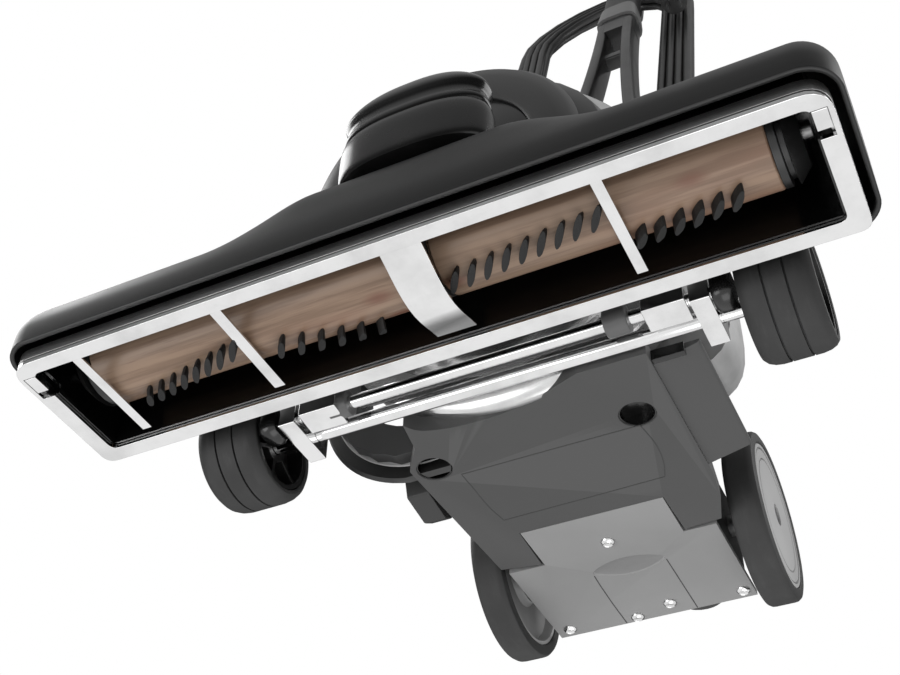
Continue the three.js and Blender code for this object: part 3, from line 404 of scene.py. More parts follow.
@dataclass(frozen=True)
class MouldedPlastic:
    """Injection-moulded plastic with a fine texture, dust and paler edges."""

    name: str
    level: float
    roughness: float = 0.42
    grain: float = 0.00005
    coat: float = 0.0
    dust: float = 0.08

    def make(self) -> bpy.types.Material:
        """Makes the material.

        Returns:
            The material.
        """
        paint = Paint(self.name)
        fine = paint.noise(2600.0, 2.0)
        cloud = paint.noise(17.0, 5.0).ramp(0.32, 0.72)
        # Raised edges are made paler, by their pointiness.
        edge = paint.raised_edge_mask()
        base = paint.mix(grey(self.level), grey(self.level * (1.0 + self.dust) + 3.0), cloud)
        return paint.surface(
            Base_Color=paint.mix(base, grey(self.level * 1.3 + 12.0), edge * 0.5),
            Roughness=cloud * 0.09 + fine * 0.08 + (self.roughness - 0.08),
            Coat_Weight=self.coat,
            Coat_Roughness=0.06,
            Normal=paint.bump(fine, self.grain, 0.6),
        )


@dataclass(frozen=True)
class TyreRubber:
    """Matte rubber with a mould bloom and scuffs on its tread."""

    name: str = "soft_rubber"
    level: float = 74.0

    def make(self) -> bpy.types.Material:
        """Makes the material.

        Returns:
            The material.
        """
        paint = Paint(self.name)
        fine = paint.noise(1500.0, 3.0)
        scuff = paint.noise(60.0, 6.0, (4.0, 1.0, 1.0)).ramp(0.5, 0.78)
        base = paint.mix(grey(self.level), grey(self.level + 16),
                         paint.noise(24.0, 4.0).ramp(0.3, 0.75))
        return paint.surface(
            Base_Color=paint.mix(base, grey(self.level + 30), scuff * 0.35),
            Roughness=fine * 0.12 + 0.56,
            Normal=paint.bump(fine, 0.00006, 0.6),
        )


@dataclass(frozen=True)
class RollerWood:
    """Sealed pale hardwood with lengthwise grain and small reddish knots."""

    name: str = "sealed_wood"
    pale: Point = (0.36, 0.245, 0.17)
    dark: Point = (0.18, 0.11, 0.07)
    knot: Point = (0.17, 0.06, 0.035)

    def make(self) -> bpy.types.Material:
        """Makes the material.

        Returns:
            The material.
        """
        paint = Paint(self.name)
        drift = paint.noise(7.0, 3.0, (1.0, 4.0, 4.0))
        bands = paint.noise(190.0, 5.0, (0.05, 1.0, 1.0))
        pores = paint.noise(900.0, 3.0, (0.05, 1.0, 1.0))
        tone = paint.mix(self.pale, self.dark, bands.ramp(0.4, 0.64) * 0.8)
        tone = paint.mix(tone, (0.31, 0.165, 0.11), drift.ramp(0.5, 0.72) * 0.55)
        cells = paint.node(
            "ShaderNodeTexVoronoi",
            {"feature": "F1"},
            {"Vector": paint.place((0.8, 1.7, 1.7)), "Scale": 19.0},
            output="Distance",
        )
        spot = 1.0 - cells.ramp(0.03, 0.17)
        tone = paint.mix(tone, self.knot, spot * 0.8)
        tone = paint.mix(tone, (0.16, 0.09, 0.06), pores.ramp(0.56, 0.75) * 0.35)
        return paint.surface(
            Base_Color=tone,
            Roughness=bands * 0.14 + 0.4,
            Coat_Weight=0.18,
            Coat_Roughness=0.2,
            Normal=paint.bump(bands * 0.6 + pores * 0.4, 0.00012, 0.5),
        )


@dataclass(frozen=True)
class BristleFibre:
    """Stiff black fibre whose strands run outwards."""

    name: str = "bristle_fibre"
    level: float = 7.0

    def make(self) -> bpy.types.Material:
        """Makes the material.

        Returns:
            The material.
        """
        paint = Paint(self.name)
        strands = paint.noise(2400.0, 2.0)
        return paint.surface(
            Base_Color=paint.mix(grey(self.level), grey(self.level + 14), strands.ramp(0.45, 0.7)),
            Roughness=strands * 0.25 + 0.5,
            Normal=paint.bump(strands, 0.0004, 0.9),
        )


@dataclass(frozen=True)
class CordSheath:
    """Black rubber sheath with a faint twist under it."""

    name: str = "cord_sheath"
    level: float = 38.0

    def make(self) -> bpy.types.Material:
        """Makes the material.

        Returns:
            The material.
        """
        paint = Paint(self.name)
        rings = paint.noise(700.0, 3.0)
        cloud = paint.noise(30.0, 3.0).ramp(0.3, 0.7)
        return paint.surface(
            Base_Color=paint.mix(grey(self.level), grey(self.level + 14), cloud),
            Roughness=rings * 0.12 + 0.34,
            Normal=paint.bump(rings, 0.00008, 0.5),
        )


@dataclass(frozen=True)
class TintedLens:
    """A dark glossy lens that barely lets the lamp show."""

    name: str = "tinted_lens"
    level: float = 26.0

    def make(self) -> bpy.types.Material:
        """Makes the material.

        Returns:
            The material.
        """
        paint = Paint(self.name)
        flutes = paint.noise(55.0, 2.0, (1.0, 1.0, 0.25))
        haze = paint.noise(26.0, 4.0).ramp(0.35, 0.7)
        return paint.surface(
            Base_Color=paint.mix(grey(self.level), grey(self.level + 12), haze),
            Roughness=haze * 0.06 + 0.22,
            Coat_Weight=0.2,
            Coat_Roughness=0.12,
            Normal=paint.bump(flutes, 0.0002, 0.2),
        )


@dataclass(frozen=True)
class BulbGlass:
    """Warm white bulb glass with a frosted inside."""

    name: str = "frosted_glass"

    def make(self) -> bpy.types.Material:
        """Makes the material.

        Returns:
            The material.
        """
        paint = Paint(self.name)
        frost = paint.noise(300.0, 3.0)
        return paint.surface(
            Base_Color=paint.mix((0.86, 0.84, 0.78), (0.7, 0.68, 0.62), frost.ramp(0.4, 0.7)),
            Roughness=frost * 0.1 + 0.12,
            Coat_Weight=0.6,
        )


READY: Dict[str, bpy.types.Material] = {}  # each finish's material, once made


class Finish(Enum):
    """Every finish of the sweeper, by the piece that wears it."""

    CHROME = PolishedChrome()
    BAND = BrushedMetal("band_brushed", 208.0, 0.26)
    STEEL = BrushedMetal("turned_steel", 150.0, 0.3, (1.0, 1.0, 1.0), 240.0)
    CASE = CastAlloy("case_cast", 236.0, 0.16, 0.9)
    COWL = CastAlloy("cowl_alloy", 190.0, 0.42, 0.35)
    HOOD = MouldedPlastic("hood_plastic", 24.0, 0.46, 0.00003, 0.0)
    COVER = MouldedPlastic("fan_cover_plastic", 40.0, 0.36, 0.00003, 0.1)
    RING = MouldedPlastic("ring_plastic", 62.0, 0.44, 0.00003)
    LAMP = MouldedPlastic("lamp_gloss", 10.0, 0.27, 0.00001, 0.2, 0.02)
    # chamber_gloss is the roller chamber's own near-black; it also lines the screw wells as
    # painted shade.
    HOUSING = MouldedPlastic("chamber_gloss", 5.0, 0.2, 0.00002, 0.2)
    DARK = MouldedPlastic("tray_plastic", 68.0, 0.6, 0.00008)
    DEEP = MouldedPlastic("deep_plastic", 40.0, 0.5, 0.00006)
    MID = MouldedPlastic("plate_plastic", 132.0, 0.5, 0.00004)
    DISC = MouldedPlastic("disc_plastic", 150.0, 0.46, 0.00004)
    BLACK = MouldedPlastic("fork_plastic", 22.0, 0.34, 0.00004, 0.15)
    HUB = MouldedPlastic("hub_plastic", 16.0, 0.36, 0.00004)
    GREY = MouldedPlastic("collar_plastic", 84.0, 0.42, 0.00005)
    TYRE = TyreRubber("tread_rubber", 42.0)
    BELT = TyreRubber("belt_woven", 40.0)
    WOOD = RollerWood()
    BRISTLE = BristleFibre()
    CORD = CordSheath()
    LENS = TintedLens("tinted_lens", 12.0)
    BULB = BulbGlass()

    def material(self) -> bpy.types.Material:
        """Makes this finish's material, once.

        Returns:
            The material.
        """
        if self.name not in READY:
            READY[self.name] = self.value.make()
        return READY[self.name]


# ---------------------------------------------------------------------------
# mesh making


def quads(
    rows: int, count: int, around: bool = True, joined: bool = False, base: int = 0
) -> List[Sequence[int]]:
    """Returns the four-cornered faces between rows of points.

    Args:
        rows: how many rows there are.
        count: points in each row.
        around: whether each row closes on itself.
        joined: whether the last row joins the first.
        base: number of the first point.

    Returns:
        The corner numbers of each face.
    """
    faces: List[Sequence[int]] = []
    for i in range(rows if joined else rows - 1):
        near, far = base + i * count, base + (i + 1) % rows * count
        for j in range(count if around else count - 1):
            n = (j + 1) % count
            faces.append((near + j, near + n, far + n, far + j))
    return faces


def caps(rows: int, count: int, base: int = 0) -> List[Sequence[int]]:
    """Returns the two end faces of rows of points, numbered from base."""
    last = base + (rows - 1) * count
    return [tuple(range(base, base + count)), tuple(range(last, last + count))]


class Shop:
    """Makes, dresses and mounts the meshes."""

    JOIN = 1e-6  # points closer than this, in metres, are one
    NODE_JOIN = 2e-6  # the same for the frame's own nodes
    LINE_PROUD = 0.12  # how far, in millimetres, a line stands out of its face
    LINE_SUNK = 0.3  # how far it goes into it

    @classmethod
    def mesh(
        cls,
        name: str,
        points: Sequence[Vector],
        faces: Sequence[Sequence[int]],
        finish: Finish,
        body: str,
        crease: float = 32.0,
    ) -> bpy.types.Object:
        """Makes a piece from points and faces.

        Args:
            name: the piece's name.
            points: corners, in metres, in the frame.
            faces: corner numbers of each face.
            finish: the finish it wears.
            body: the moving body it rides on.
            crease: edges sharper than this many degrees stay sharp.

        Returns:
            The new object.
        """
        data = bpy.data.meshes.new(name)
        data.from_pydata([tuple(p) for p in points], [], [list(f) for f in faces])
        work = bmesh.new()
        work.from_mesh(data)
        bmesh.ops.remove_doubles(work, verts=work.verts, dist=cls.JOIN)
        bmesh.ops.recalc_face_normals(work, faces=work.faces)
        work.to_mesh(data)
        work.free()
        data.shade_smooth()
        data.set_sharp_from_angle(angle=math.radians(crease))
        piece = bpy.data.objects.new(name, data)
        bpy.context.scene.collection.objects.link(piece)
        data.materials.append(finish.material())
        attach(piece, body)
        return piece

    @classmethod
    def turned(
        cls,
        name: str,
        profile: Sequence[Pair],
        axis: Axis,
        centre: Point,
        finish: Finish,
        body: str,
        sides: int = 96,
        closed: bool = True,
    ) -> bpy.types.Object:
        """Turns a profile of (radius, station) pairs about an axis.

        Args:
            name: the piece's name.
            profile: radius and station pairs, in millimetres.
            axis: the direction of the turning axis.
            centre: a bench point on the axis.
            finish: the finish it wears.
            body: the body it rides on.
            sides: steps round the turn.
            closed: whether the last pair joins the first.

        Returns:
            The new object.
        """
        points: List[Vector] = []
        for radius, station in profile:
            for k in range(sides):
                turn = 2.0 * math.pi * (k + 0.5) / sides
                u, v = radius * math.cos(turn), radius * math.sin(turn)
                spot = {Axis.X: (station, u, v), Axis.Y: (u, station, v),
                        Axis.Z: (u, v, station)}[axis]
                points.append(Bench.at(*(c + s for c, s in zip(centre, spot))))
        faces = quads(len(profile), sides, joined=closed)
        return cls.mesh(name, points, faces, finish, body)

    @classmethod
    def lofted(
        cls,
        name: str,
        loops: Sequence[Sequence[Vector]],
        finish: Finish,
        body: str,
        capped: bool = True,
        crease: float = 32.0,
    ) -> bpy.types.Object:
        """Skins a row of equal loops.

        Args:
            name: the piece's name.
            loops: rings of points, in metres.
            finish: the finish it wears.
            body: the body it rides on.
            capped: whether the ends are closed.
            crease: edges sharper than this stay sharp.

        Returns:
            The new object.
        """
        count = len(loops[0])
        points = [p for loop in loops for p in loop]
        faces = quads(len(loops), count)
        if capped:
            faces += caps(len(loops), count)
        return cls.mesh(name, points, faces, finish, body, crease)

    @classmethod
    def block(
        cls,
        name: str,
        low: Point,
        high: Point,
        finish: Finish,
        body: str,
        edge: float = 0.6,
        place: Callable[..., Vector] = Bench.at,
    ) -> bpy.types.Object:
        """Makes a block with rounded edges between two corners given in millimetres.

        Args:
            name: the piece's name.
            low: the lower corner.
            high: the upper corner.
            finish: the finish it wears.
            body: the body it rides on.
            edge: rounding of the edges, in millimetres.
            place: turns a corner into a frame position.

        Returns:
            The new object.
        """
        corners = [
            place(x, y, z)
            for z in (low[2], high[2])
            for y in (low[1], high[1])
            for x in (low[0], high[0])
        ]
        faces = [(0, 1, 3, 2), (4, 5, 7, 6), (0, 1, 5, 4), (2, 3, 7, 6), (0, 2, 6, 4),
                 (1, 3, 7, 5)]
        piece = cls.mesh(name, corners, faces, finish, body)
        cls.soften(piece, edge, 3)
        return piece

    @classmethod
    def raised(
        cls,
        name: str,
        outline: Sequence[Pair],
        low: float,
        high: float,
        finish: Finish,
        lie: Callable[[float, float, float], Vector] = Bench.at,
    ) -> bpy.types.Object:
        """Raises an outline between two levels, as a piece of the base.

        Args:
            name: the piece's name.
            outline: pairs round the outline, in millimetres.
            low: the first level.
            high: the second level.
            finish: the finish it wears.
            lie: turns a pair and a level into a frame position.

        Returns:
            The new object.
        """
        count = len(outline)
        points = [lie(a, b, h) for h in (low, high) for a, b in outline]
        return cls.mesh(name, points, caps(2, count) + quads(2, count), finish, "base")

    @classmethod
    def painted_shade_line(
        cls, name: str, line: Sequence[Pair], width: float, level: float, finish: Finish,
        closed: bool = False
    ) -> bpy.types.Object:
        """Lays a thin dark line of painted shade under a level face, where grooves and steps would
        lie in shadow.

        Args:
            name: the piece's name.
            line: bench points across and back.
            width: the line's width in millimetres.
            level: height of the face it lies on.
            finish: the finish it wears.
            closed: whether the line joins up.

        Returns:
            The new object.
        """
        count = len(line)
        points: List[Vector] = []
        for k, (x, y) in enumerate(line):
            before = line[k - 1] if k or closed else line[k]
            after = line[(k + 1) % count] if k + 1 < count or closed else line[k]
            dx, dy = after[0] - before[0], after[1] - before[1]
            long = math.hypot(dx, dy) or 1.0
            nx, ny = -dy / long * width / 2.0, dx / long * width / 2.0
            low, high = level - cls.LINE_PROUD, level + cls.LINE_SUNK
            points += [Bench.at(x + nx, y + ny, low), Bench.at(x - nx, y - ny, low),
                       Bench.at(x - nx, y - ny, high), Bench.at(x + nx, y + ny, high)]
        faces = quads(count, 4, joined=closed)
        if not closed:
            faces += caps(count, 4)
        return cls.mesh(name, points, faces, finish, "base", 60.0)

    @staticmethod
    def carve(piece: bpy.types.Object, cutters: Sequence[bpy.types.Object]) -> None:
        """Cuts each cutter out of a piece, and removes the cutters.

        Args:
            piece: the piece to cut.
            cutters: closed skins, used up by the cut.
        """
        for cutter in cutters:
            cut = piece.modifiers.new("cut", "BOOLEAN")
            cut.object = cutter
            cut.solver = "EXACT"
        bpy.context.view_layer.update()
        shaped = piece.evaluated_get(bpy.context.evaluated_depsgraph_get())
        data = bpy.data.meshes.new_from_object(shaped)
        piece.modifiers.clear()
        piece.data = data
        for cutter in cutters:
            bpy.data.objects.remove(cutter)

    @staticmethod
    def plug(name: str, rings: Sequence[Sequence[Vector]]) -> bpy.types.Object:
        """Makes a bare closed skin for cutting.

        Args:
            name: the skin's name.
            rings: equal rings of points, in metres.

        Returns:
            The skin.
        """
        count = len(rings[0])
        faces = quads(len(rings), count) + caps(len(rings), count)
        data = bpy.data.meshes.new(name)
        data.from_pydata([tuple(p) for ring in rings for p in ring], [], faces)
        work = bmesh.new()
        work.from_mesh(data)
        bmesh.ops.recalc_face_normals(work, faces=work.faces)
        work.to_mesh(data)
        work.free()
        cutter = bpy.data.objects.new(name, data)
        bpy.context.scene.collection.objects.link(cutter)
        return cutter

    @staticmethod
    def soften(piece: bpy.types.Object, edge: float, segments: int = 2,
               angle: float = 35.0) -> None:
        """Rounds a piece's sharp edges by edge millimetres.

        Args:
            piece: the piece to round.
            edge: the rounding in millimetres.
            segments: steps across each rounding.
            angle: edges sharper than this, in degrees, are rounded.
        """
        bevel = piece.modifiers.new("edge", "BEVEL")
        bevel.width = edge * MM
        bevel.segments = segments
        bevel.limit_method = "ANGLE"
        bevel.angle_limit = math.radians(angle)
        bevel.miter_outer = "MITER_ARC"
        weigh = piece.modifiers.new("flats", "WEIGHTED_NORMAL")
        weigh.mode = "FACE_AREA"
        weigh.weight = 100

    @classmethod
    def dress(cls, node: str, finish: Finish, edge: float = 0.0,
              crease: float = 28.0) -> bpy.types.Object:
        """Gives a frame node its finish, smooth shading and, if edge is set, rounded edges.

        Args:
            node: the node's name.
            finish: the finish it wears.
            edge: rounding of the edges, in millimetres.
            crease: edges sharper than this, in degrees, stay sharp.

        Returns:
            The node's object.
        """
        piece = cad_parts[node]
        data = piece.data
        data.materials.clear()
        data.materials.append(finish.material())
        data.shade_smooth()
        weld = piece.modifiers.new("weld", "WELD")
        weld.merge_threshold = cls.NODE_JOIN
        if edge:
            cls.soften(piece, edge)
        else:
            split = piece.modifiers.new("creases", "EDGE_SPLIT")
            split.split_angle = math.radians(crease)
        return piece


def oval(
    count: int, half_u: float, half_v: float, power: float, place: Callable[[float, float], Vector]
) -> List[Vector]:
    """Returns a rounded-box ring of points.

    Args:
        count: points round the ring.
        half_u: half the width.
        half_v: half the height.
        power: 2 for an ellipse, more for a squarer ring.
        place: turns ring coordinates into a frame position.

    Returns:
        The ring.
    """
    ring = []
    for k in range(count):
        turn = 2.0 * math.pi * (k + 0.5) / count
        c, s = math.cos(turn), math.sin(turn)
        u = half_u * math.copysign(abs(c) ** (2.0 / power), c)
        v = half_v * math.copysign(abs(s) ** (2.0 / power), s)
        ring.append(place(u, v))
    return ring


def smooth(a: float, b: float, x: float) -> float:
    """Returns 0 at a, 1 at b and a smooth rise between.

    Args:
        a: where the rise starts.
        b: where it ends.
        x: the place asked for.

    Returns:
        The share risen.
    """
    t = min(max((x - a) / (b - a), 0.0), 1.0)
    return t * t * (3.0 - 2.0 * t)


def spline(points: Sequence[Sequence[float]], steps: int) -> List[Tuple[float, ...]]:
    """Runs a smooth row through points.

    Args:
        points: the points, of any one length.
        steps: samples on each stretch.

    Returns:
        The row, which ends on the last point.
    """
    last = len(points) - 1
    row = []
    for i in range(last):
        p0, p1, p2, p3 = (points[max(min(k, last), 0)] for k in (i - 1, i, i + 1, i + 2))
        for s in range(steps):
            t = s / steps
            row.append(
                tuple(
                    0.5
                    * (
                        2 * b
                        + (c - a) * t
                        + (2 * a - 5 * b + 4 * c - d) * t * t
                        + (3 * b - a - 3 * c + d) * t**3
                    )
                    for a, b, c, d in zip(p0, p1, p2, p3)
                )
            )
    row.append(tuple(points[last]))
    return row


# ---------------------------------------------------------------------------
# stage


@dataclass
class Studio:
    """The camera, the lights, the white surround and the floor."""

    eye: Point = (199.2, -322.3, -381.0)
    focal: float = 53.414
    forward: Point = (-0.331812, 0.660707, 0.673326)
    side: Point = (0.900292, 0.434959, 0.016853)
    sensor: float = 36.0
    fill: float = 0.42
    gloss_stops: Tuple[Pair, ...] = ((0.0, 1.0), (0.33, 0.95), (0.46, 0.05), (0.72, 0.07),
                                     (1.0, 0.5))
    floor_reach: float = 6.0
    floor_drop: float = 0.0004

    def camera(self) -> None:
        """Sets the camera low in front of the nozzle, looking up under it."""
        data = bpy.data.cameras.new("camera")
        data.lens = self.focal
        data.sensor_width = self.sensor
        data.clip_start = 0.01
        data.clip_end = 50.0
        eye = bpy.data.objects.new("camera", data)
        bpy.context.scene.collection.objects.link(eye)
        forward = Vector(self.forward)
        side = Vector(self.side)
        side = (side - forward * side.dot(forward)).normalized()
        up = side.cross(forward).normalized()
        turn = Matrix((side, up, -forward)).transposed().to_4x4()
        eye.matrix_world = Matrix.Translation(Bench.at(*self.eye)) @ turn
        bpy.context.scene.camera = eye

    def light(self, name: str, spot: Point, target: Point, size: float, power: float) -> None:
        """Adds a soft square lamp.

        Args:
            name: the lamp's name.
            spot: where it stands, in bench millimetres.
            target: what it is aimed at.
            size: its side in metres.
            power: its power in watts.
        """
        data = bpy.data.lights.new(name, "AREA")
        data.shape = "SQUARE"
        data.size = size
        data.energy = power
        lamp = bpy.data.objects.new(name, data)
        bpy.context.scene.collection.objects.link(lamp)
        lamp.location = Bench.at(*spot)
        aim = (Bench.at(*target) - lamp.location).to_track_quat("-Z", "Y")
        lamp.rotation_euler = aim.to_euler()

    def surround(self) -> None:
        """Makes a white surround that glosses see as a graded studio."""
        world = bpy.data.worlds.new("surround")
        world.use_nodes = True
        bpy.context.scene.world = world
        world.node_tree.nodes.clear()
        tree = Tree(world.node_tree)
        white = (1.0, 1.0, 1.0)
        seen = tree.node("ShaderNodeBackground", {}, {0: white, 1: 1.0})
        fill = tree.node("ShaderNodeBackground", {}, {0: white, 1: self.fill})
        where = tree.node("ShaderNodeTexCoord", {}, {}, output="Generated")
        height = tree.node("ShaderNodeSeparateXYZ", {}, {0: where}, output="Z")
        share = tree.node("ShaderNodeMapRange", {}, {"Value": height, "From Min": -1.0})
        stops = [(place, (tone, tone, tone)) for place, tone in self.gloss_stops]
        ramp = tree.node("ShaderNodeValToRGB", {"stops": stops}, {0: share})
        cast = tree.node("ShaderNodeBackground", {}, {0: ramp})
        glossy = tree.node("ShaderNodeLightPath", {}, {}, output="Is Glossy Ray")
        gloss = tree.node("ShaderNodeMixShader", {}, {0: glossy, 1: fill, 2: cast})
        direct = tree.node("ShaderNodeLightPath", {}, {}, output="Is Camera Ray")
        both = tree.node("ShaderNodeMixShader", {}, {0: direct, 1: gloss, 2: seen})
        tree.node("ShaderNodeOutputWorld", {}, {0: both}, output=None)

    def floor(self) -> None:
        """Lays a pale floor that can be looked through from below."""
        data = bpy.data.meshes.new("floor")
        reach = self.floor_reach
        data.from_pydata(
            [(-reach, -reach, 0), (reach, -reach, 0), (reach, reach, 0), (-reach, reach, 0)], [],
            [(0, 1, 2, 3)]
        )
        ground = bpy.data.objects.new("floor", data)
        ground.location.z = -self.floor_drop
        bpy.context.scene.collection.objects.link(ground)
        paint = Paint("floor_pale")
        shade = paint.mix((0.86, 0.86, 0.86), (0.9, 0.9, 0.9), paint.noise(3.0, 2.0))
        paint.surface(Base_Color=shade, Roughness=0.8, Emission_Color=(0.4, 0.4, 0.4),
                      Emission_Strength=1.0)
        seen = paint.node("ShaderNodeLightPath", {}, {}, output="Is Camera Ray")
        under = paint.node("ShaderNodeNewGeometry", {}, {}, output="Backfacing")
        clear = paint.node("ShaderNodeBsdfTransparent", {}, {})
        both = paint.node(
            "ShaderNodeMixShader",
            {},
            {0: 1.0 - seen * (1.0 - under), 1: Value(paint, paint.shader.outputs[0]), 2: clear},
        )
        paint.feed(paint.tree.nodes["Material Output"].inputs["Surface"], both)
        data.materials.append(paint.material)

    def build(self) -> None:
        """Sets the whole stage."""
        self.camera()
        self.surround()
        self.floor()
        self.light("key", (-700, -900, -500), (0, 100, 60), 0.9, 6)
        self.light("under", (350, 150, -1100), (0, 150, 30), 1.0, 4)
        self.light("top", (-1100, 100, 900), (-60, 60, 80), 0.8, 9)
        self.light("rim", (900, 500, 500), (60, 150, 100), 0.7, 5)
        bpy.context.scene.view_settings.view_transform = "Standard"


# ---------------------------------------------------------------------------
# cord


@dataclass
class CordSet:
    """The wound cord on its hook, with its tail, sleeve and plug."""

    diameter: float = 7.4
    middle: float = -30.0
    top: float = 705.0
    bottom: float = 373.0
    outer: float = 93.0
    inner: float = 56.0
    front: float = 19.0
    turns: int = 8
    tail_x: float = 0.0
    plug_x: float = 52.0
    plug_up: float = 640.0
    margin: float = 4.0
    pitch: float = 7.8
    lane_rear: float = 12.4
    lane_near: float = 4.2
    tail_back: float = 8.5
    tail_shift: float = 3.9
    tail_steps: int = 7
    entry: float = 1.022
    past: float = 0.45
    lap_steps: int = 44
    lead_steps: int = 15
    pull: float = 95.0
    plug_front: float = 14.5
    plug_lead: float = 48.0

    def turn_point(self, share: float, radius: float, depth: float) -> Point:
        """Returns a point of one turn of the hank.

        Args:
            share: how far round the turn, from 0 to 1, starting at the right run's foot.
            radius: half the width of the turn.
            depth: how far behind the handle.

        Returns:
            The point as across, back and along the handle.
        """
        run = self.top - self.bottom
        arc = math.pi * radius
        spot = (share % 1.0) * 2.0 * (run + arc)
        if spot < run:
            return (self.middle + radius, depth, self.bottom + spot)
        spot -= run
        if spot < arc:
            turn = spot / radius
            return (self.middle + radius * math.cos(turn), depth,
                    self.top + radius * math.sin(turn))
        spot -= arc
        if spot < run:
            return (self.middle - radius, depth, self.top - spot)
        turn = math.pi + (spot - run) / radius
        return (self.middle + radius * math.cos(turn), depth,
                self.bottom + radius * math.sin(turn))

    def share_at(self, turn: float, radius: float) -> float:
        """Returns how far round the hank an angle of its top bend lies.

        Args:
            turn: the angle on the top bend, in radians.
            radius: half the width of the turn.

        Returns:
            The share, from 0 to 1.
        """
        run = self.top - self.bottom
        return (run + turn * radius) / (2.0 * (run + math.pi * radius))

    def route(self) -> List[Vector]:
        """Lays out the cord's whole path, from its sleeve to its plug.

        Returns:
            The path, in metres.
        """
        rear, near = self.front + self.lane_rear, self.front + self.lane_near
        steps = [self.outer - self.margin - self.pitch * k for k in range(self.turns // 2)]
        lanes = [(r, rear) for r in steps] + [(r, near) for r in reversed(steps)]
        start = self.share_at(self.entry, lanes[0][0])
        join = self.turn_point(start, *lanes[0])
        swing = math.pi / 2.0 - self.entry
        bend = (join[0] - self.tail_x) / (1.0 - math.cos(swing + self.past))
        drop = join[2] + bend * math.sin(swing + self.past)
        deep = self.front + self.tail_back
        path: List[Point] = [(self.tail_x, deep, w) for w in (832.0, 824.0, 815.0)]
        for k in range(self.tail_steps):
            turn = (swing + self.past) * k / self.tail_steps
            path.append((self.tail_x + bend * (1 - math.cos(turn)),
                         deep + self.tail_shift * smooth(0, self.tail_steps, k),
                         drop - bend * math.sin(turn)))
        for lap, (radius, depth) in enumerate(lanes):
            follow, behind = lanes[min(lap + 1, len(lanes) - 1)]
            for k in range(self.lap_steps):
                share = k / self.lap_steps
                blend = smooth(0.7, 1.0, share)
                wide = radius + (follow - radius) * blend
                path.append(self.turn_point(start - share, wide, depth + (behind - depth) * blend))
        last = path[-1]
        lead = (self.plug_x, self.front - self.plug_front, self.plug_up + self.plug_lead)
        aim = [(a - b) for a, b in zip(last, path[-2])]
        pull = self.pull / math.sqrt(sum(a * a for a in aim))
        sink = (0.0, 0.0, -self.pull)
        for k in range(1, self.lead_steps + 1):
            t = k / self.lead_steps
            h = (2 * t**3 - 3 * t**2 + 1, t**3 - 2 * t**2 + t, 3 * t**2 - 2 * t**3, t**3 - t**2)
            path.append(tuple(h[0] * p + h[1] * pull * a + h[2] * q + h[3] * d
                              for p, a, q, d in zip(last, aim, lead, sink)))
        return [Bench.handle(*spot) for spot in path]

    def build(self) -> None:
        route = self.route()
        curve = bpy.data.curves.new("mains_cord", "CURVE")
        curve.dimensions = "3D"
        curve.bevel_depth = self.diameter * MM / 2.0
        curve.bevel_resolution = 4
        curve.resolution_u = 3
        line = curve.splines.new("POLY")
        line.points.add(len(route) - 1)
        for knot, spot in zip(line.points, route):
            knot.co = (*spot, 1.0)
        line.use_smooth = True
        curve.materials.append(Finish.CORD.material())
        piece = bpy.data.objects.new("mains_cord", curve)
        bpy.context.scene.collection.objects.link(piece)
        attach(piece, "handle")
        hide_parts("cord_hank")
        length = sum((b - a).length for a, b in zip(route, route[1:]))
        LOG.info("cord length %.2f m", length)
        tuple(route[0])
        self.tie()
        Shop.dress("plug", Finish.CORD, 0.0, 40.0)
        Shop.dress("strain_relief", Finish.CORD, 0.0, 40.0)
        LOG.info("cord set built")

    def tie(self) -> None:
        """Wraps a soft tie round the left runs of the hank."""
        middle, deep = self.middle - (self.outer + self.inner) / 2.0, self.front + 8.3
        loops = []
        for along, swell in ((497.0, -0.5), (497.6, 0.0), (512.4, 0.0), (513.0, -0.5)):
            loops.append(oval(48, 20.4 + swell, 9.6 + swell, 5, lambda u, v, w=along: Bench.handle(
                middle + u, deep + v, w)))
        band = Shop.lofted("hank_tie", loops, Finish.CORD, "handle", True, 50.0)


# ---------------------------------------------------------------------------
# nozzle


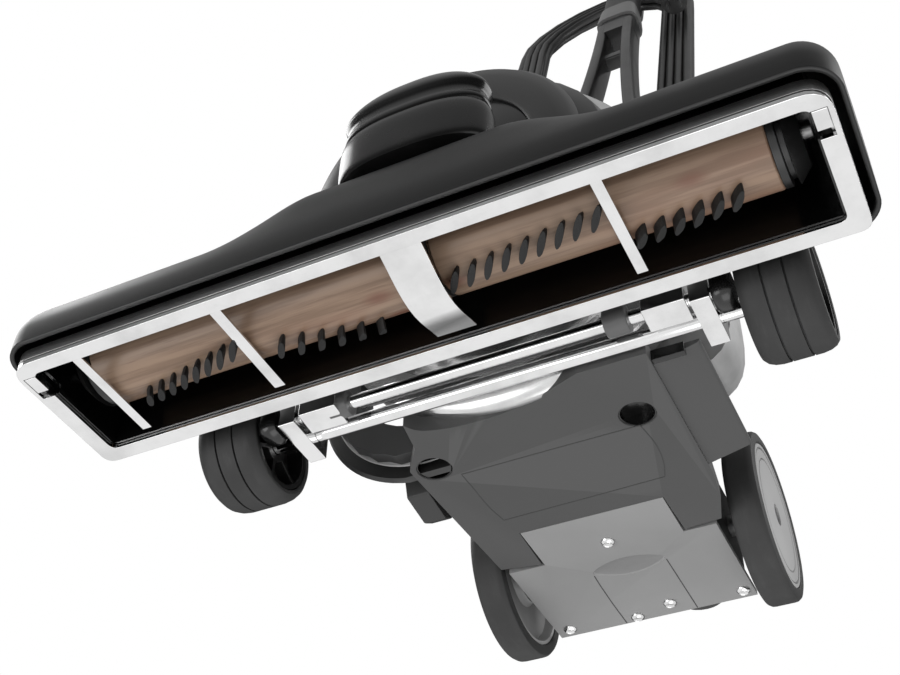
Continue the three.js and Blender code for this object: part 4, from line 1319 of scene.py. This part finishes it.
@dataclass
class Nozzle:
    """The bottom frame, its guards, the hood and the roller chamber."""

    half: float = 187.5
    rim_top: float = 22.0
    side: float = 5.5
    rear: float = 86.0
    span: float = 91.0
    table: float = 94.0
    wall: float = 2.0
    arm_top: float = 71.0
    shelf_top: float = 73.5
    lamp_x: float = 9.0
    shelf_half: float = 100.0
    shelf_run: float = 55.0
    corner: float = 16.0
    corner_steps: int = 12
    straight: float = 172.0
    step: float = 4.0
    gap: float = 0.3
    droop: float = 0.3

    def frame_pieces(self) -> None:
        """Dresses the chrome frame, the band and the guards."""
        Shop.dress("bottom_plate", Finish.CHROME, 0.5)
        Shop.dress("nozzle_rim", Finish.BAND, 0.4)
        for node in ("belt_guard", "guard_strap_outer", "guard_strap_left", "guard_strap_right"):
            Shop.dress(node, Finish.CHROME, 0.25, 50.0)
        for node in ("plate_latch_left", "plate_latch_right"):
            Shop.dress(node, Finish.CHROME, 0.3)
        Shop.dress("roller_housing", Finish.HOUSING, 0.0)
        LOG.info("frame and guards dressed")

    def section(self, shelf: float, squeeze: float) -> List[Pair]:
        """Returns the hood's front-to-back section.

        Args:
            shelf: from 0 on the arms to 1 under the lamp.
            squeeze: from 0 along the hood to 1 at its ends.

        Returns:
            Pairs of bench y and z.
        """
        arm = [(0, 0), (0, 0.14), (1, 0.28), (5, 0.45), (12, 0.64), (22, 0.83), (36, 0.95),
               (53, 1),
               (70, 1), (84, 0.93), (92, 0.76), (94, 0.4), (94, 0)]
        lamp = [(0, 0), (0, 0.14), (1, 0.3), (4, 0.52), (8, 0.75), (13, 0.91), (22, 1), (36, 1),
                (53, 1), (70, 1), (84, 1), (92, 0.95), (94, 0.4), (94, 0)]
        low = self.rim_top + self.gap
        top = self.arm_top + (self.shelf_top - self.arm_top) * shelf
        row = []
        for (d0, r0), (d1, r1) in zip(arm, lamp):
            d = (d0 + (d1 - d0) * shelf) / self.table
            r = r0 + (r1 - r0) * shelf
            reach = self.span / 2 - self.corner * squeeze
            y = self.rear - self.span / 2 + (2 * d - 1) * reach
            row.append((y, low + (top - low) * (1 - self.droop * squeeze) * r))
        return row

    def hood(self) -> None:
        """Makes the hood's smooth skin."""
        end, rounding = self.half + self.side, self.corner
        stations = []
        for k in range(self.corner_steps + 1):
            turn = (1 - k / self.corner_steps) * math.pi / 2
            stations.append((-(end - rounding + rounding * math.sin(turn)), 1 - math.cos(turn)))
        x = -self.straight
        while x <= self.straight:
            stations.append((x, 0.0))
            x += self.step
        stations += [(-x, squeeze) for x, squeeze in reversed(stations[: self.corner_steps + 1])]
        loops = []
        for x, squeeze in stations:
            shelf = smooth(0.0, self.shelf_run, self.shelf_half - abs(x - self.lamp_x))
            fine = spline(self.section(shelf, squeeze), 4)
            loops.append([Bench.at(x, y, z) for y, z in fine])
        count = len(loops[0])
        points = [p for loop in loops for p in loop]
        faces = quads(len(loops), count, around=False) + caps(len(loops), count)
        skin = Shop.mesh("hood_skin", points, faces, Finish.HOOD, "base", 50.0)
        shell = skin.modifiers.new("wall", "SOLIDIFY")
        shell.thickness = self.wall * MM
        shell.offset = -1.0
        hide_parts("nozzle_hood")
        LOG.info("hood built")

    def build(self) -> None:
        """Makes the nozzle."""
        self.frame_pieces()
        self.hood()


@dataclass
class Roller:
    """The wooden roller with its tufts and end caps."""

    y: float = 37.0
    z: float = 37.0
    radius: float = 20.0
    reach: float = 6.0
    half: float = 160.0
    bore: float = 4.4
    tuft_half: Pair = (1.75, 3.9)
    tuft_skew: float = -0.7
    tuft_ragged: float = 0.25
    tuft_points: int = 14
    rows: Dict[str, Tuple[Tuple[float, float, int, float, float], ...]] = field(
        default_factory=lambda: {
            "left": ((-140.5, 7.7, 8, -71.0, -0.58), (-66.0, 8.8, 6, -84.0, 0.7)),
            "right": ((22.0, 8.25, 9, -98.0, -0.25), (101.0, 8.3, 6, -72.0, -0.3)),
        }
    )

    def build(self) -> None:
        """Makes the wood, the tufts and the dark ends."""
        r, h, bore = self.radius, self.half, self.bore
        profile = [(bore, -h), (r - 0.6, -h), (r, 0.6 - h), (r, 3.0), (r - 3, 3.5), (r - 3, 15.5),
                   (r, 16.0),
                   (r, h - 0.6), (r - 0.6, h), (bore, h)]
        wood = Shop.turned("roller_wood", profile, Axis.X, (0, self.y, self.z), Finish.WOOD,
                           "roller")
        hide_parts("roller_body")
        for side in ("left", "right"):
            Shop.dress(f"roller_cap_{side}", Finish.HUB, 0.0)
            self.tufts(side)
        Shop.dress("roller_axle", Finish.STEEL)
        Shop.dress("drive_belt", Finish.BELT)
        LOG.info("roller built")

    def tufts(self, side: str) -> None:
        """Makes one half's two winding rows of tufts.

        Args:
            side: "left" or "right".
        """
        points: List[Vector] = []
        faces: List[Sequence[int]] = []
        rng = random.Random(7 if side == "right" else 11)
        for first, pitch, count, start, slope in self.rows[side]:
            for half_turn in (0.0, 180.0):
                for k in range(count):
                    x = first + pitch * k
                    turn = math.radians(start + slope * (x - first) + half_turn)
                    self.tuft(points, faces, x, turn, rng)
        piece = Shop.mesh(f"tufts_{side}", points, faces, Finish.BRISTLE, "roller", 60.0)
        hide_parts(f"bristles_{side}")

    def tuft(
        self, points: List[Vector], faces: List[Sequence[int]], x: float, turn: float,
        rng: random.Random
    ) -> None:
        """Adds one oval tuft that leans out of the wood at x and turn.

        Args:
            points: the points so far, added to.
            faces: the faces so far, added to.
            x: the tuft's place along the roller.
            turn: the tuft's angle round it, in radians.
            rng: draws the ragged tips.
        """
        count = self.tuft_points
        base = len(points)
        levels = [(self.radius - 1.0, 1.0), (self.radius + 2.0, 1.06),
                  (self.radius + self.reach - 0.8, 1.1),
                  (self.radius + self.reach, 1.05)]
        for radius, spread in levels:
            for k in range(count):
                a = 2 * math.pi * k / count
                u = self.tuft_half[0] * spread * math.cos(a)
                v = self.tuft_half[1] * spread * math.sin(a)
                wobble = rng.uniform(-self.tuft_ragged,
                                     self.tuft_ragged) if radius > self.radius + 3 else 0.0
                skew = self.tuft_skew * v
                angle = turn + v / self.radius
                r = radius + wobble
                points.append(
                    Bench.at(x + u + skew, self.y + r * math.cos(angle),
                             self.z + r * math.sin(angle))
                )
        faces += quads(len(levels), count, base=base) + caps(len(levels), count, base)


@dataclass
class Lamp:
    """The two-tier lamp on the hood."""

    x: float = 9.0
    front: float = 3.0
    rear: float = 34.0
    half: float = 38.0

    def rings(self, rows: Sequence[Pair]) -> List[List[Vector]]:
        """Makes the smooth rings of a tier.

        Args:
            rows: height and scale pairs.

        Returns:
            The rings, in metres.
        """
        middle = (self.front + self.rear) / 2
        deep = (self.rear - self.front) / 2
        return [
            oval(96, self.half * scale, deep * scale, 2.5, lambda u, v,
                 z=z: Bench.at(self.x + u, middle + v, z))
            for z, scale in spline(rows, 6)
        ]

    def build(self) -> None:
        """Makes the lens tier, the cap tier and the bulb."""
        lens = self.rings([(73.8, 0.95), (75.5, 0.985), (79, 1.0), (90, 1.0), (96, 0.985),
                           (99, 0.955), (100, 0.94)])
        piece = Shop.lofted("lamp_glass", lens, Finish.LENS, "base", True, 60.0)
        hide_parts("lamp_lens")
        cap = self.rings([(100.3, 0.93), (101.6, 0.955), (103.5, 0.955), (106, 0.925),
                          (109, 0.915), (111.5, 0.945),
                          (114, 0.965), (117, 0.935), (121, 0.845), (125, 0.7), (128, 0.5),
                          (129.7, 0.26), (130, 0.05)])
        piece = Shop.lofted("lamp_dome", cap, Finish.LAMP, "lamp_lid", True, 60.0)
        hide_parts("lamp_cap")
        Shop.dress("lamp_bulb", Finish.BULB)
        LOG.info("lamp built")


@dataclass
class FanUnit:
    """The fan case, its dark front cover, the outlet, the cowl and the motor."""

    z: float = 126.0
    outlet: Pair = (-55.0, 88.0)
    tray_top: float = 24.8
    ring_start: float = -12.0
    ring_sweep: float = 204.0

    def build(self) -> None:
        """Makes the case's smooth skin and dresses the rest."""
        case = [(46, 86.3), (74, 86.3), (79, 87.4), (83, 90.5), (86, 95.5), (87, 100.3), (87, 119),
                (88.2, 120.6),
                (94, 122.5), (99, 124.2), (102.2, 126.4), (103.3, 128.5), (103.0, 131.5),
                (101.4, 134), (101.2, 147), (100.6, 150),
                (99.4, 152), (97.5, 153), (10, 153), (10, 149.5), (95, 149.5), (98, 146),
                (98, 131),
                (84, 119), (83.5, 100), (76, 89.8), (46, 89.8)]
        skin = Shop.turned("case_skin", case, Axis.Y, (BODY_X, 0, self.z), Finish.CASE, "base",
                           160)
        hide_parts("fan_case")
        self.ring()
        Shop.dress("fan_cover", Finish.COVER, 0.8, 35.0)
        Shop.dress("exhaust_outlet", Finish.DEEP, 0.3, 30.0)
        self.flange()
        Shop.dress("side_cowl", Finish.COWL, 0.0, 40.0)
        Shop.dress("motor_housing", Finish.DEEP, 0.0, 30.0)
        Shop.dress("motor_stator", Finish.STEEL)
        Shop.dress("motor_shaft", Finish.STEEL)
        Shop.dress("fan", Finish.MID)
        LOG.info("fan unit built")

    def flange(self) -> None:
        """Makes the outlet's rounded black rim, flattened over the tray, and its pale band."""
        section = [(38, 161.8), (40, 161.4), (60, 161.4), (64.5, 162.2), (66, 164.5),
                   (64.5, 166.8), (60, 167.2),
                   (38, 167.2)]
        x, z = self.outlet
        loops = []
        for k in range(97):
            turn = 2.0 * math.pi * (k % 96) / 96
            loops.append([
                Bench.at(x + r * math.cos(turn), y, max(z + r * math.sin(turn), self.tray_top))
                for r, y in section
            ])
        rim = Shop.lofted("outlet_rim", loops, Finish.BLACK, "base", False, 40.0)
        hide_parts("outlet_flange")
        rows = [(52, 161.35), (52.5, 160.9), (57.5, 160.9), (58, 161.35), (58, 161.6), (52, 161.6)]
        band = Shop.turned("outlet_band", rows, Axis.Y, (x, 0, z), Finish.DISC, "base", 96)

    def ring(self) -> None:
        """Adds the cover's wide front ring round a black mouth."""
        section = [(54, 66), (54, 62.6), (56, 61.6), (71, 61.6), (79, 64), (83.5, 68), (85, 74),
                   (85, 84), (82, 86),
                   (54, 86)]
        loops = []
        for k in range(73):
            turn = math.radians(self.ring_start + self.ring_sweep * k / 72)
            swell = (66.0 + 21.0 * smooth(0.0, math.radians(140.0), turn)) / 85.0
            loops.append([
                Bench.at(BODY_X + r * swell * math.cos(turn), y,
                         self.z + r * swell * math.sin(turn)) for r, y in section
            ])
        band = Shop.lofted("cover_ring", loops, Finish.RING, "base", True, 40.0)
        disc = [(0.01, 63.6), (55, 63.6), (56, 64.2), (56, 64.9), (0.01, 64.9)]
        mouth = Shop.turned("cover_mouth", disc, Axis.Y, (BODY_X, 0, self.z + 2.0), Finish.HOUSING,
                            "base", 64, False)


@dataclass
class Underside:
    """The tray cover, the screwed plate and the chassis."""

    level: float = 24.0
    tray_deep: float = 9.0
    plate_thick: float = 3.0
    scoop: Pair = (8.0, 284.5)
    scoop_half: Pair = (21.0, 8.6)
    wells: Tuple[Pair, ...] = ((-50.6, 161.0), (57.4, 162.0))
    screws: Tuple[Pair, ...] = ((5.8, 258.0), (58.0, 335.0), (16.0, 331.0), (-6.0, 338.0),
                                (-47.0, 335.0))

    def screw(self, index: int, x: float, y: float) -> None:
        """Adds one button-head screw under the plate.

        Args:
            index: the screw's number.
            x: its place across.
            y: its place back.
        """
        head = [(0.01, -2.2), (1.4, -2.2), (1.7, -1.2), (2.6, -1.9), (3.6, -1.2), (4.1, -0.3),
                (4.2, 0.6), (0.01, 0.6)]
        rows = [(r, self.level + s) for r, s in head]
        piece = Shop.turned(f"plate_screw_{index}", rows, Axis.Z, (x, y, 0), Finish.CHROME, "base",
                            40, False)

    def cover(self) -> None:
        """Makes the tray with its curved front, deep screw wells lined with near-black painted
        shade, and the engraved panel's outline as a dark painted shade line.
        """
        front = spline([(-49, 123), (-43, 130), (-29, 134), (-13, 135), (3, 134), (20, 130),
                        (32, 125.5), (42, 122)], 5)
        rim = [(-63, 158), (-52, 142)] + front
        rim += [(76, 122), (76, 222), (73.5, 243), (68, 262), (47.3, 263.6), (46.4, 231.1),
                (-34.4, 231.1)]
        rim += [(-35.3, 264), (-58, 260)]
        tray = Shop.raised("tray_cover", rim, self.level, self.level + self.tray_deep, Finish.DARK)
        wells = []
        for index, (x, y) in enumerate(self.wells):
            rings = [[Bench.at(x + r * math.cos(a / 20 * math.pi),
                               y + r * math.sin(a / 20 * math.pi), z)
                      for a in range(40)] for r,
                      z in ((9.4, 23.0), (9.4, 24.1), (9.1, 24.6), (9.1, 31.0))]
            wells.append(Shop.plug(f"well_{index}", rings))
            # Each well gets a near-black floor and lining of painted shade, darker than the tray,
            # where the recess would lie in shadow.
            floor = [(0.01, self.level + 6.6), (8.5, self.level + 6.6), (8.5, self.level + 0.8),
                     (9.0, self.level + 0.8), (9.0, self.level + 6.9), (0.01, self.level + 6.9)]
            Shop.turned(f"well_shade_lining_{index}", floor, Axis.Z, (x, y, 0), Finish.HOUSING,
                                "base", 40, False)
        Shop.carve(tray, wells)
        Shop.soften(tray, 0.9, 3)
        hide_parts("lower_cover")
        side = [(74.0, 25.0), (97.6, 30.6), (99.0, 32.0), (99.0, 33.0), (74.0, 33.0)]
        pocket = Shop.raised(
            "side_pocket", side, 132.0, 216.0, Finish.DARK, lambda a, b, h: Bench.at(a, h, b)
        )
        Shop.soften(pocket, 1.1, 3)
        mouth = Shop.block("pocket_slot", (73.4, 129.2, 25.4), (92.0, 132.6, 31.6), Finish.HOUSING,
                           "base", 0.4)
        # The engraved panel's outline is a thin dark line of painted shade, standing for the
        # shadow in its groove.
        panel = spline([(-40, 170.5), (-39.6, 186), (-39.2, 202), (-37, 216.5)], 5)
        panel += [(8.0, 215.8)] + spline([(53, 214.8), (56.6, 202), (57.6, 187), (55.7, 170.3)],
                                         5) + [(8.0, 170.2)]
        Shop.painted_shade_line("panel_shade_line", panel, 0.55, self.level, Finish.DEEP, True)
        LOG.info("tray cover built")

    def plate(self) -> None:
        """Makes the lighter rear plate with its finger scoop and its step lines of dark painted
        shade.
        """
        rim = [(-55.5, 343), (-55.5, 265.5), (-34, 265.5), (-34, 231.5), (46, 231.5), (46, 265.5),
               (64, 265.5),
               (64, 343)]
        sheet = Shop.raised("screwed_plate", rim, self.level, self.level + self.plate_thick,
                            Finish.MID)
        rings = []
        for k in range(9):
            rise = -1.2 + 3.4 * k / 8
            share = math.sqrt(max(1.0 - (max(rise, 0.0) / 2.4) ** 2, 0.02))
            wide, long = self.scoop_half[0] * share, self.scoop_half[1] * share
            rings.append([
                Bench.at(self.scoop[0] + wide * math.cos(a),
                         self.scoop[1] + long * math.sin(a) * (1 - 0.35 * math.cos(a) ** 2),
                         self.level + rise)
                for a in (2 * math.pi * n / 64 for n in range(64))
            ])
        Shop.carve(sheet, [Shop.plug("scoop", rings)])
        Shop.soften(sheet, 0.4, 2, 50.0)
        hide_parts("rear_plate")
        # Each step edge is a thin dark line of painted shade.
        for name, line in (("step_shade_left",
                            [(-13.2, 287.0), (-13.8, 300.0), (-14.2, 318.0), (-14.2, 342.4)]),
                           ("step_shade_right", [(29.0, 287.0), (29.0, 300.0), (28.9, 318.0),
                                           (28.8, 342.4)])):
            Shop.painted_shade_line(name, line, 0.6, self.level, Finish.DEEP)
        LOG.info("rear plate built")

    def build(self) -> None:
        """Makes the tray, the plate and the screws."""
        self.cover()
        self.plate()
        Shop.dress("chassis", Finish.DEEP, 0.8)
        for index, (x, y) in enumerate(self.screws, 1):
            self.screw(index, x, y)
        LOG.info("underside built")


@dataclass
class Running:
    """The rods, the carriage and the wheels."""

    front_y: float = 116.6
    front_r: float = 28.7
    front_in: float = 119.6
    front_w: float = 33.6
    rear_y: float = 306.5
    rear_r: float = 48.3
    rear_in: float = 65.8
    rear_w: float = 17.9

    def front_tyre(self, side: str, sign: float) -> None:
        """Makes a soft-shouldered tyre with two grooves.

        Args:
            side: "left" or "right".
            sign: -1 on the left and 1 on the right.
        """
        r, w = self.front_r, self.front_w
        rows = [(r - 5.4, 0.6), (r - 4.6, 0.1), (r - 3.4, 0.3), (r - 1.6, 2.0), (r - 0.5, 4.6),
                (r, 8.0),
                (r, w * 0.34), (r - 1.3, w * 0.345), (r - 1.3, w * 0.365), (r, w * 0.37),
                (r, w * 0.63),
                (r - 1.3, w * 0.635), (r - 1.3, w * 0.655), (r, w * 0.66), (r, w - 8),
                (r - 0.5, w - 4.6),
                (r - 1.6, w - 2.0), (r - 3.4, w - 0.3), (r - 4.6, w - 0.1), (r - 5.4, w - 0.6)]
        rows = [(a, sign * (self.front_in + b)) for a, b in rows]
        piece = Shop.turned(f"front_tread_{side}", rows, Axis.X,
                            (BODY_X, self.front_y, self.front_r), Finish.TYRE,
                            f"front_wheel_{side}", 96)
        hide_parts(f"front_tyre_{side}")

    def rear_tyre(self, side: str, sign: float) -> None:
        """Makes a narrow tyre and the flat disc inside it.

        Args:
            side: "left" or "right".
            sign: -1 on the left and 1 on the right.
        """
        r, w = self.rear_r, self.rear_w
        rows = [(r - 7, 0.4), (r - 6.4, 0), (r - 3, 0), (r - 1.2, 0.7), (r - 0.2, 2.2), (r, 4),
                (r, w - 4),
                (r - 0.2, w - 2.2), (r - 1.2, w - 0.7), (r - 3, w), (r - 6.4, w), (r - 7, w - 0.4)]
        rows = [(a, sign * (self.rear_in + b)) for a, b in rows]
        centre = (BODY_X, self.rear_y, self.rear_r)
        piece = Shop.turned(f"rear_tread_{side}", rows, Axis.X, centre, Finish.TYRE, "rear_wheels",
                            128)
        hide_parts(f"rear_tyre_{side}")
        o = r - 7.3
        disc = [(6.3, 2), (16, 2), (18, 6), (o - 4, 6), (o - 2, 1), (o, 1), (o, w - 0.9),
                (o - 0.4, w - 0.5),
                (o - 2.2, w - 0.5), (o - 2.5, w - 1.5), (o - 3.1, w - 1.5), (o - 3.4, w - 0.7),
                (o - 8.5, w - 0.7),
                (o - 8.8, w - 1.4), (o - 9.3, w - 1.4), (o - 9.6, w - 0.7), (6.3, w - 0.6)]
        disc = [(a, sign * (self.rear_in + b)) for a, b in disc]
        piece = Shop.turned(f"rear_face_{side}", disc, Axis.X, centre, Finish.DISC, "rear_wheels",
                            128)
        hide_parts(f"rear_disc_{side}")

    def collar(self, name: str, x: float) -> None:
        """Adds a grey collar that clips both rods together.

        Args:
            name: the collar's name.
            x: its middle, in bench millimetres.
        """
        rows = [(6.2, x - 5.5), (6.6, x - 5), (6.6, x + 5), (6.2, x + 5.5), (3.4, x + 5.5),
                (3.4, x - 5.5)]
        piece = Shop.turned(name, rows, Axis.X, (0, 101.6, self.front_r), Finish.GREY, "base", 48)

    def build(self) -> None:
        """Makes the wheels and dresses the rods."""
        for side, sign in (("left", -1.0), ("right", 1.0)):
            self.front_tyre(side, sign)
            self.rear_tyre(side, sign)
            Shop.dress(f"front_hub_{side}", Finish.HUB, 0.3)
            Shop.dress(f"bar_end_{side}", Finish.LAMP, 0.0, 45.0)
            Shop.dress(f"bar_bracket_{side}", Finish.CHROME, 0.5)
            Shop.dress(f"carriage_arm_{side}", Finish.CHROME, 0.6)
        channel = Shop.block("rod_channel", (-66, 105.6, 31.0), (62, 111.4, 35.0), Finish.HOUSING,
                             "base", 0.5)
        self.collar("rod_collar_left", -72.0)
        self.collar("rod_collar_right", 70.0)
        for name, radius, y, reach, body, node in (
            ("hook_rod", 3.2, 101.6, 118.0, "base", "pivot_bar"),
            ("wheel_rod", 4.0, 116.6, 147.2, "carriage", "front_axle"),
        ):
            rows = [(0.01, -reach), (radius - 0.5, -reach), (radius, -reach + 0.6),
                    (radius, reach - 0.6),
                    (radius - 0.5, reach), (0.01, reach)]
            piece = Shop.turned(name, rows, Axis.X, (BODY_X, y, self.front_r), Finish.CHROME, body,
                                48, False)
            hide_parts(node)
        Shop.dress("rear_axle", Finish.STEEL)
        Shop.dress("height_pedal", Finish.DEEP, 1.5)
        Shop.dress("drive_pedal", Finish.BLACK, 0.8)
        LOG.info("running gear built")


@dataclass
class Handle:
    """The leaning fork with its collar, tube and grip."""

    top: float = 598.0
    foot: float = 61.0
    crotch: float = 12.0
    straight_to: float = 70.0
    spread: float = 1.9
    below: float = 14.0
    steps: int = 60

    def leg_middle(self, along: float) -> float:
        """Returns how far a leg's middle is from the handle's middle.

        Args:
            along: millimetres up the handle.

        Returns:
            The distance in millimetres.
        """
        t = min(max((along - self.straight_to) / (self.top - self.straight_to), 0.0), 1.0)
        return self.crotch + (self.foot - self.crotch) * (1.0 - t) ** self.spread

    def build(self) -> None:
        """Makes the fork's smooth legs and dresses the rest."""
        for side, sign in (("left", -1.0), ("right", 1.0)):
            loops = []
            for k in range(self.steps + 1):
                w = -self.below + (self.top - 10.0 + self.below) * k / self.steps
                middle = sign * self.leg_middle(w)
                loops.append(oval(28, 5.5, 13, 4, lambda u, v, w=w,
                                  m=middle: Bench.handle(m + u, v, w)))
            leg = Shop.lofted(f"fork_leg_{side}", loops, Finish.BLACK, "handle", True, 50.0)
            if sign > 0:
                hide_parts("handle_fork")
            eye = [(6.4, 55.5), (16, 55.5), (17, 56.5), (17, 65.5), (16, 66.5), (6.4, 66.5)]
            rows = [(a, sign * b) for a, b in eye]
            hub = Shop.turned(f"fork_eye_{side}", rows, Axis.X, PIVOT, Finish.BLACK, "handle", 64)
        neck = [
            oval(48, 18, 13, 4, lambda u, v, w=w: Bench.handle(u, v, w))
            for w in (self.top - 34, self.top - 20, self.top)
        ]
        Shop.lofted("fork_neck", neck, Finish.BLACK, "handle", True, 50.0)
        bar = Shop.block("fork_cross_bar", (-16, -5, self.top - 88), (16, 8, self.top - 76),
                         Finish.BLACK, "handle", 2.0,
                         Bench.handle)
        Shop.dress("handle_collar", Finish.GREY, 0.0, 40.0)
        Shop.dress("handle_tube", Finish.DEEP, 0.0, 40.0)
        Shop.dress("handle_grip", Finish.BLACK, 0.0, 50.0)
        Shop.dress("switch_rocker", Finish.GREY, 0.6)
        Shop.dress("cord_hook", Finish.BLACK, 0.6, 35.0)
        LOG.info("handle built")


def main() -> None:
    """Builds the stage and the sweeper's sub-assemblies in order."""
    logging.basicConfig(level=logging.INFO)
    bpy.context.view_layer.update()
    for part in (Studio(), CordSet(), Nozzle(), Roller(), Lamp(), FanUnit(), Underside(),
                 Running(), Handle()):
        part.build()


if __name__ == "__main__":
    main()
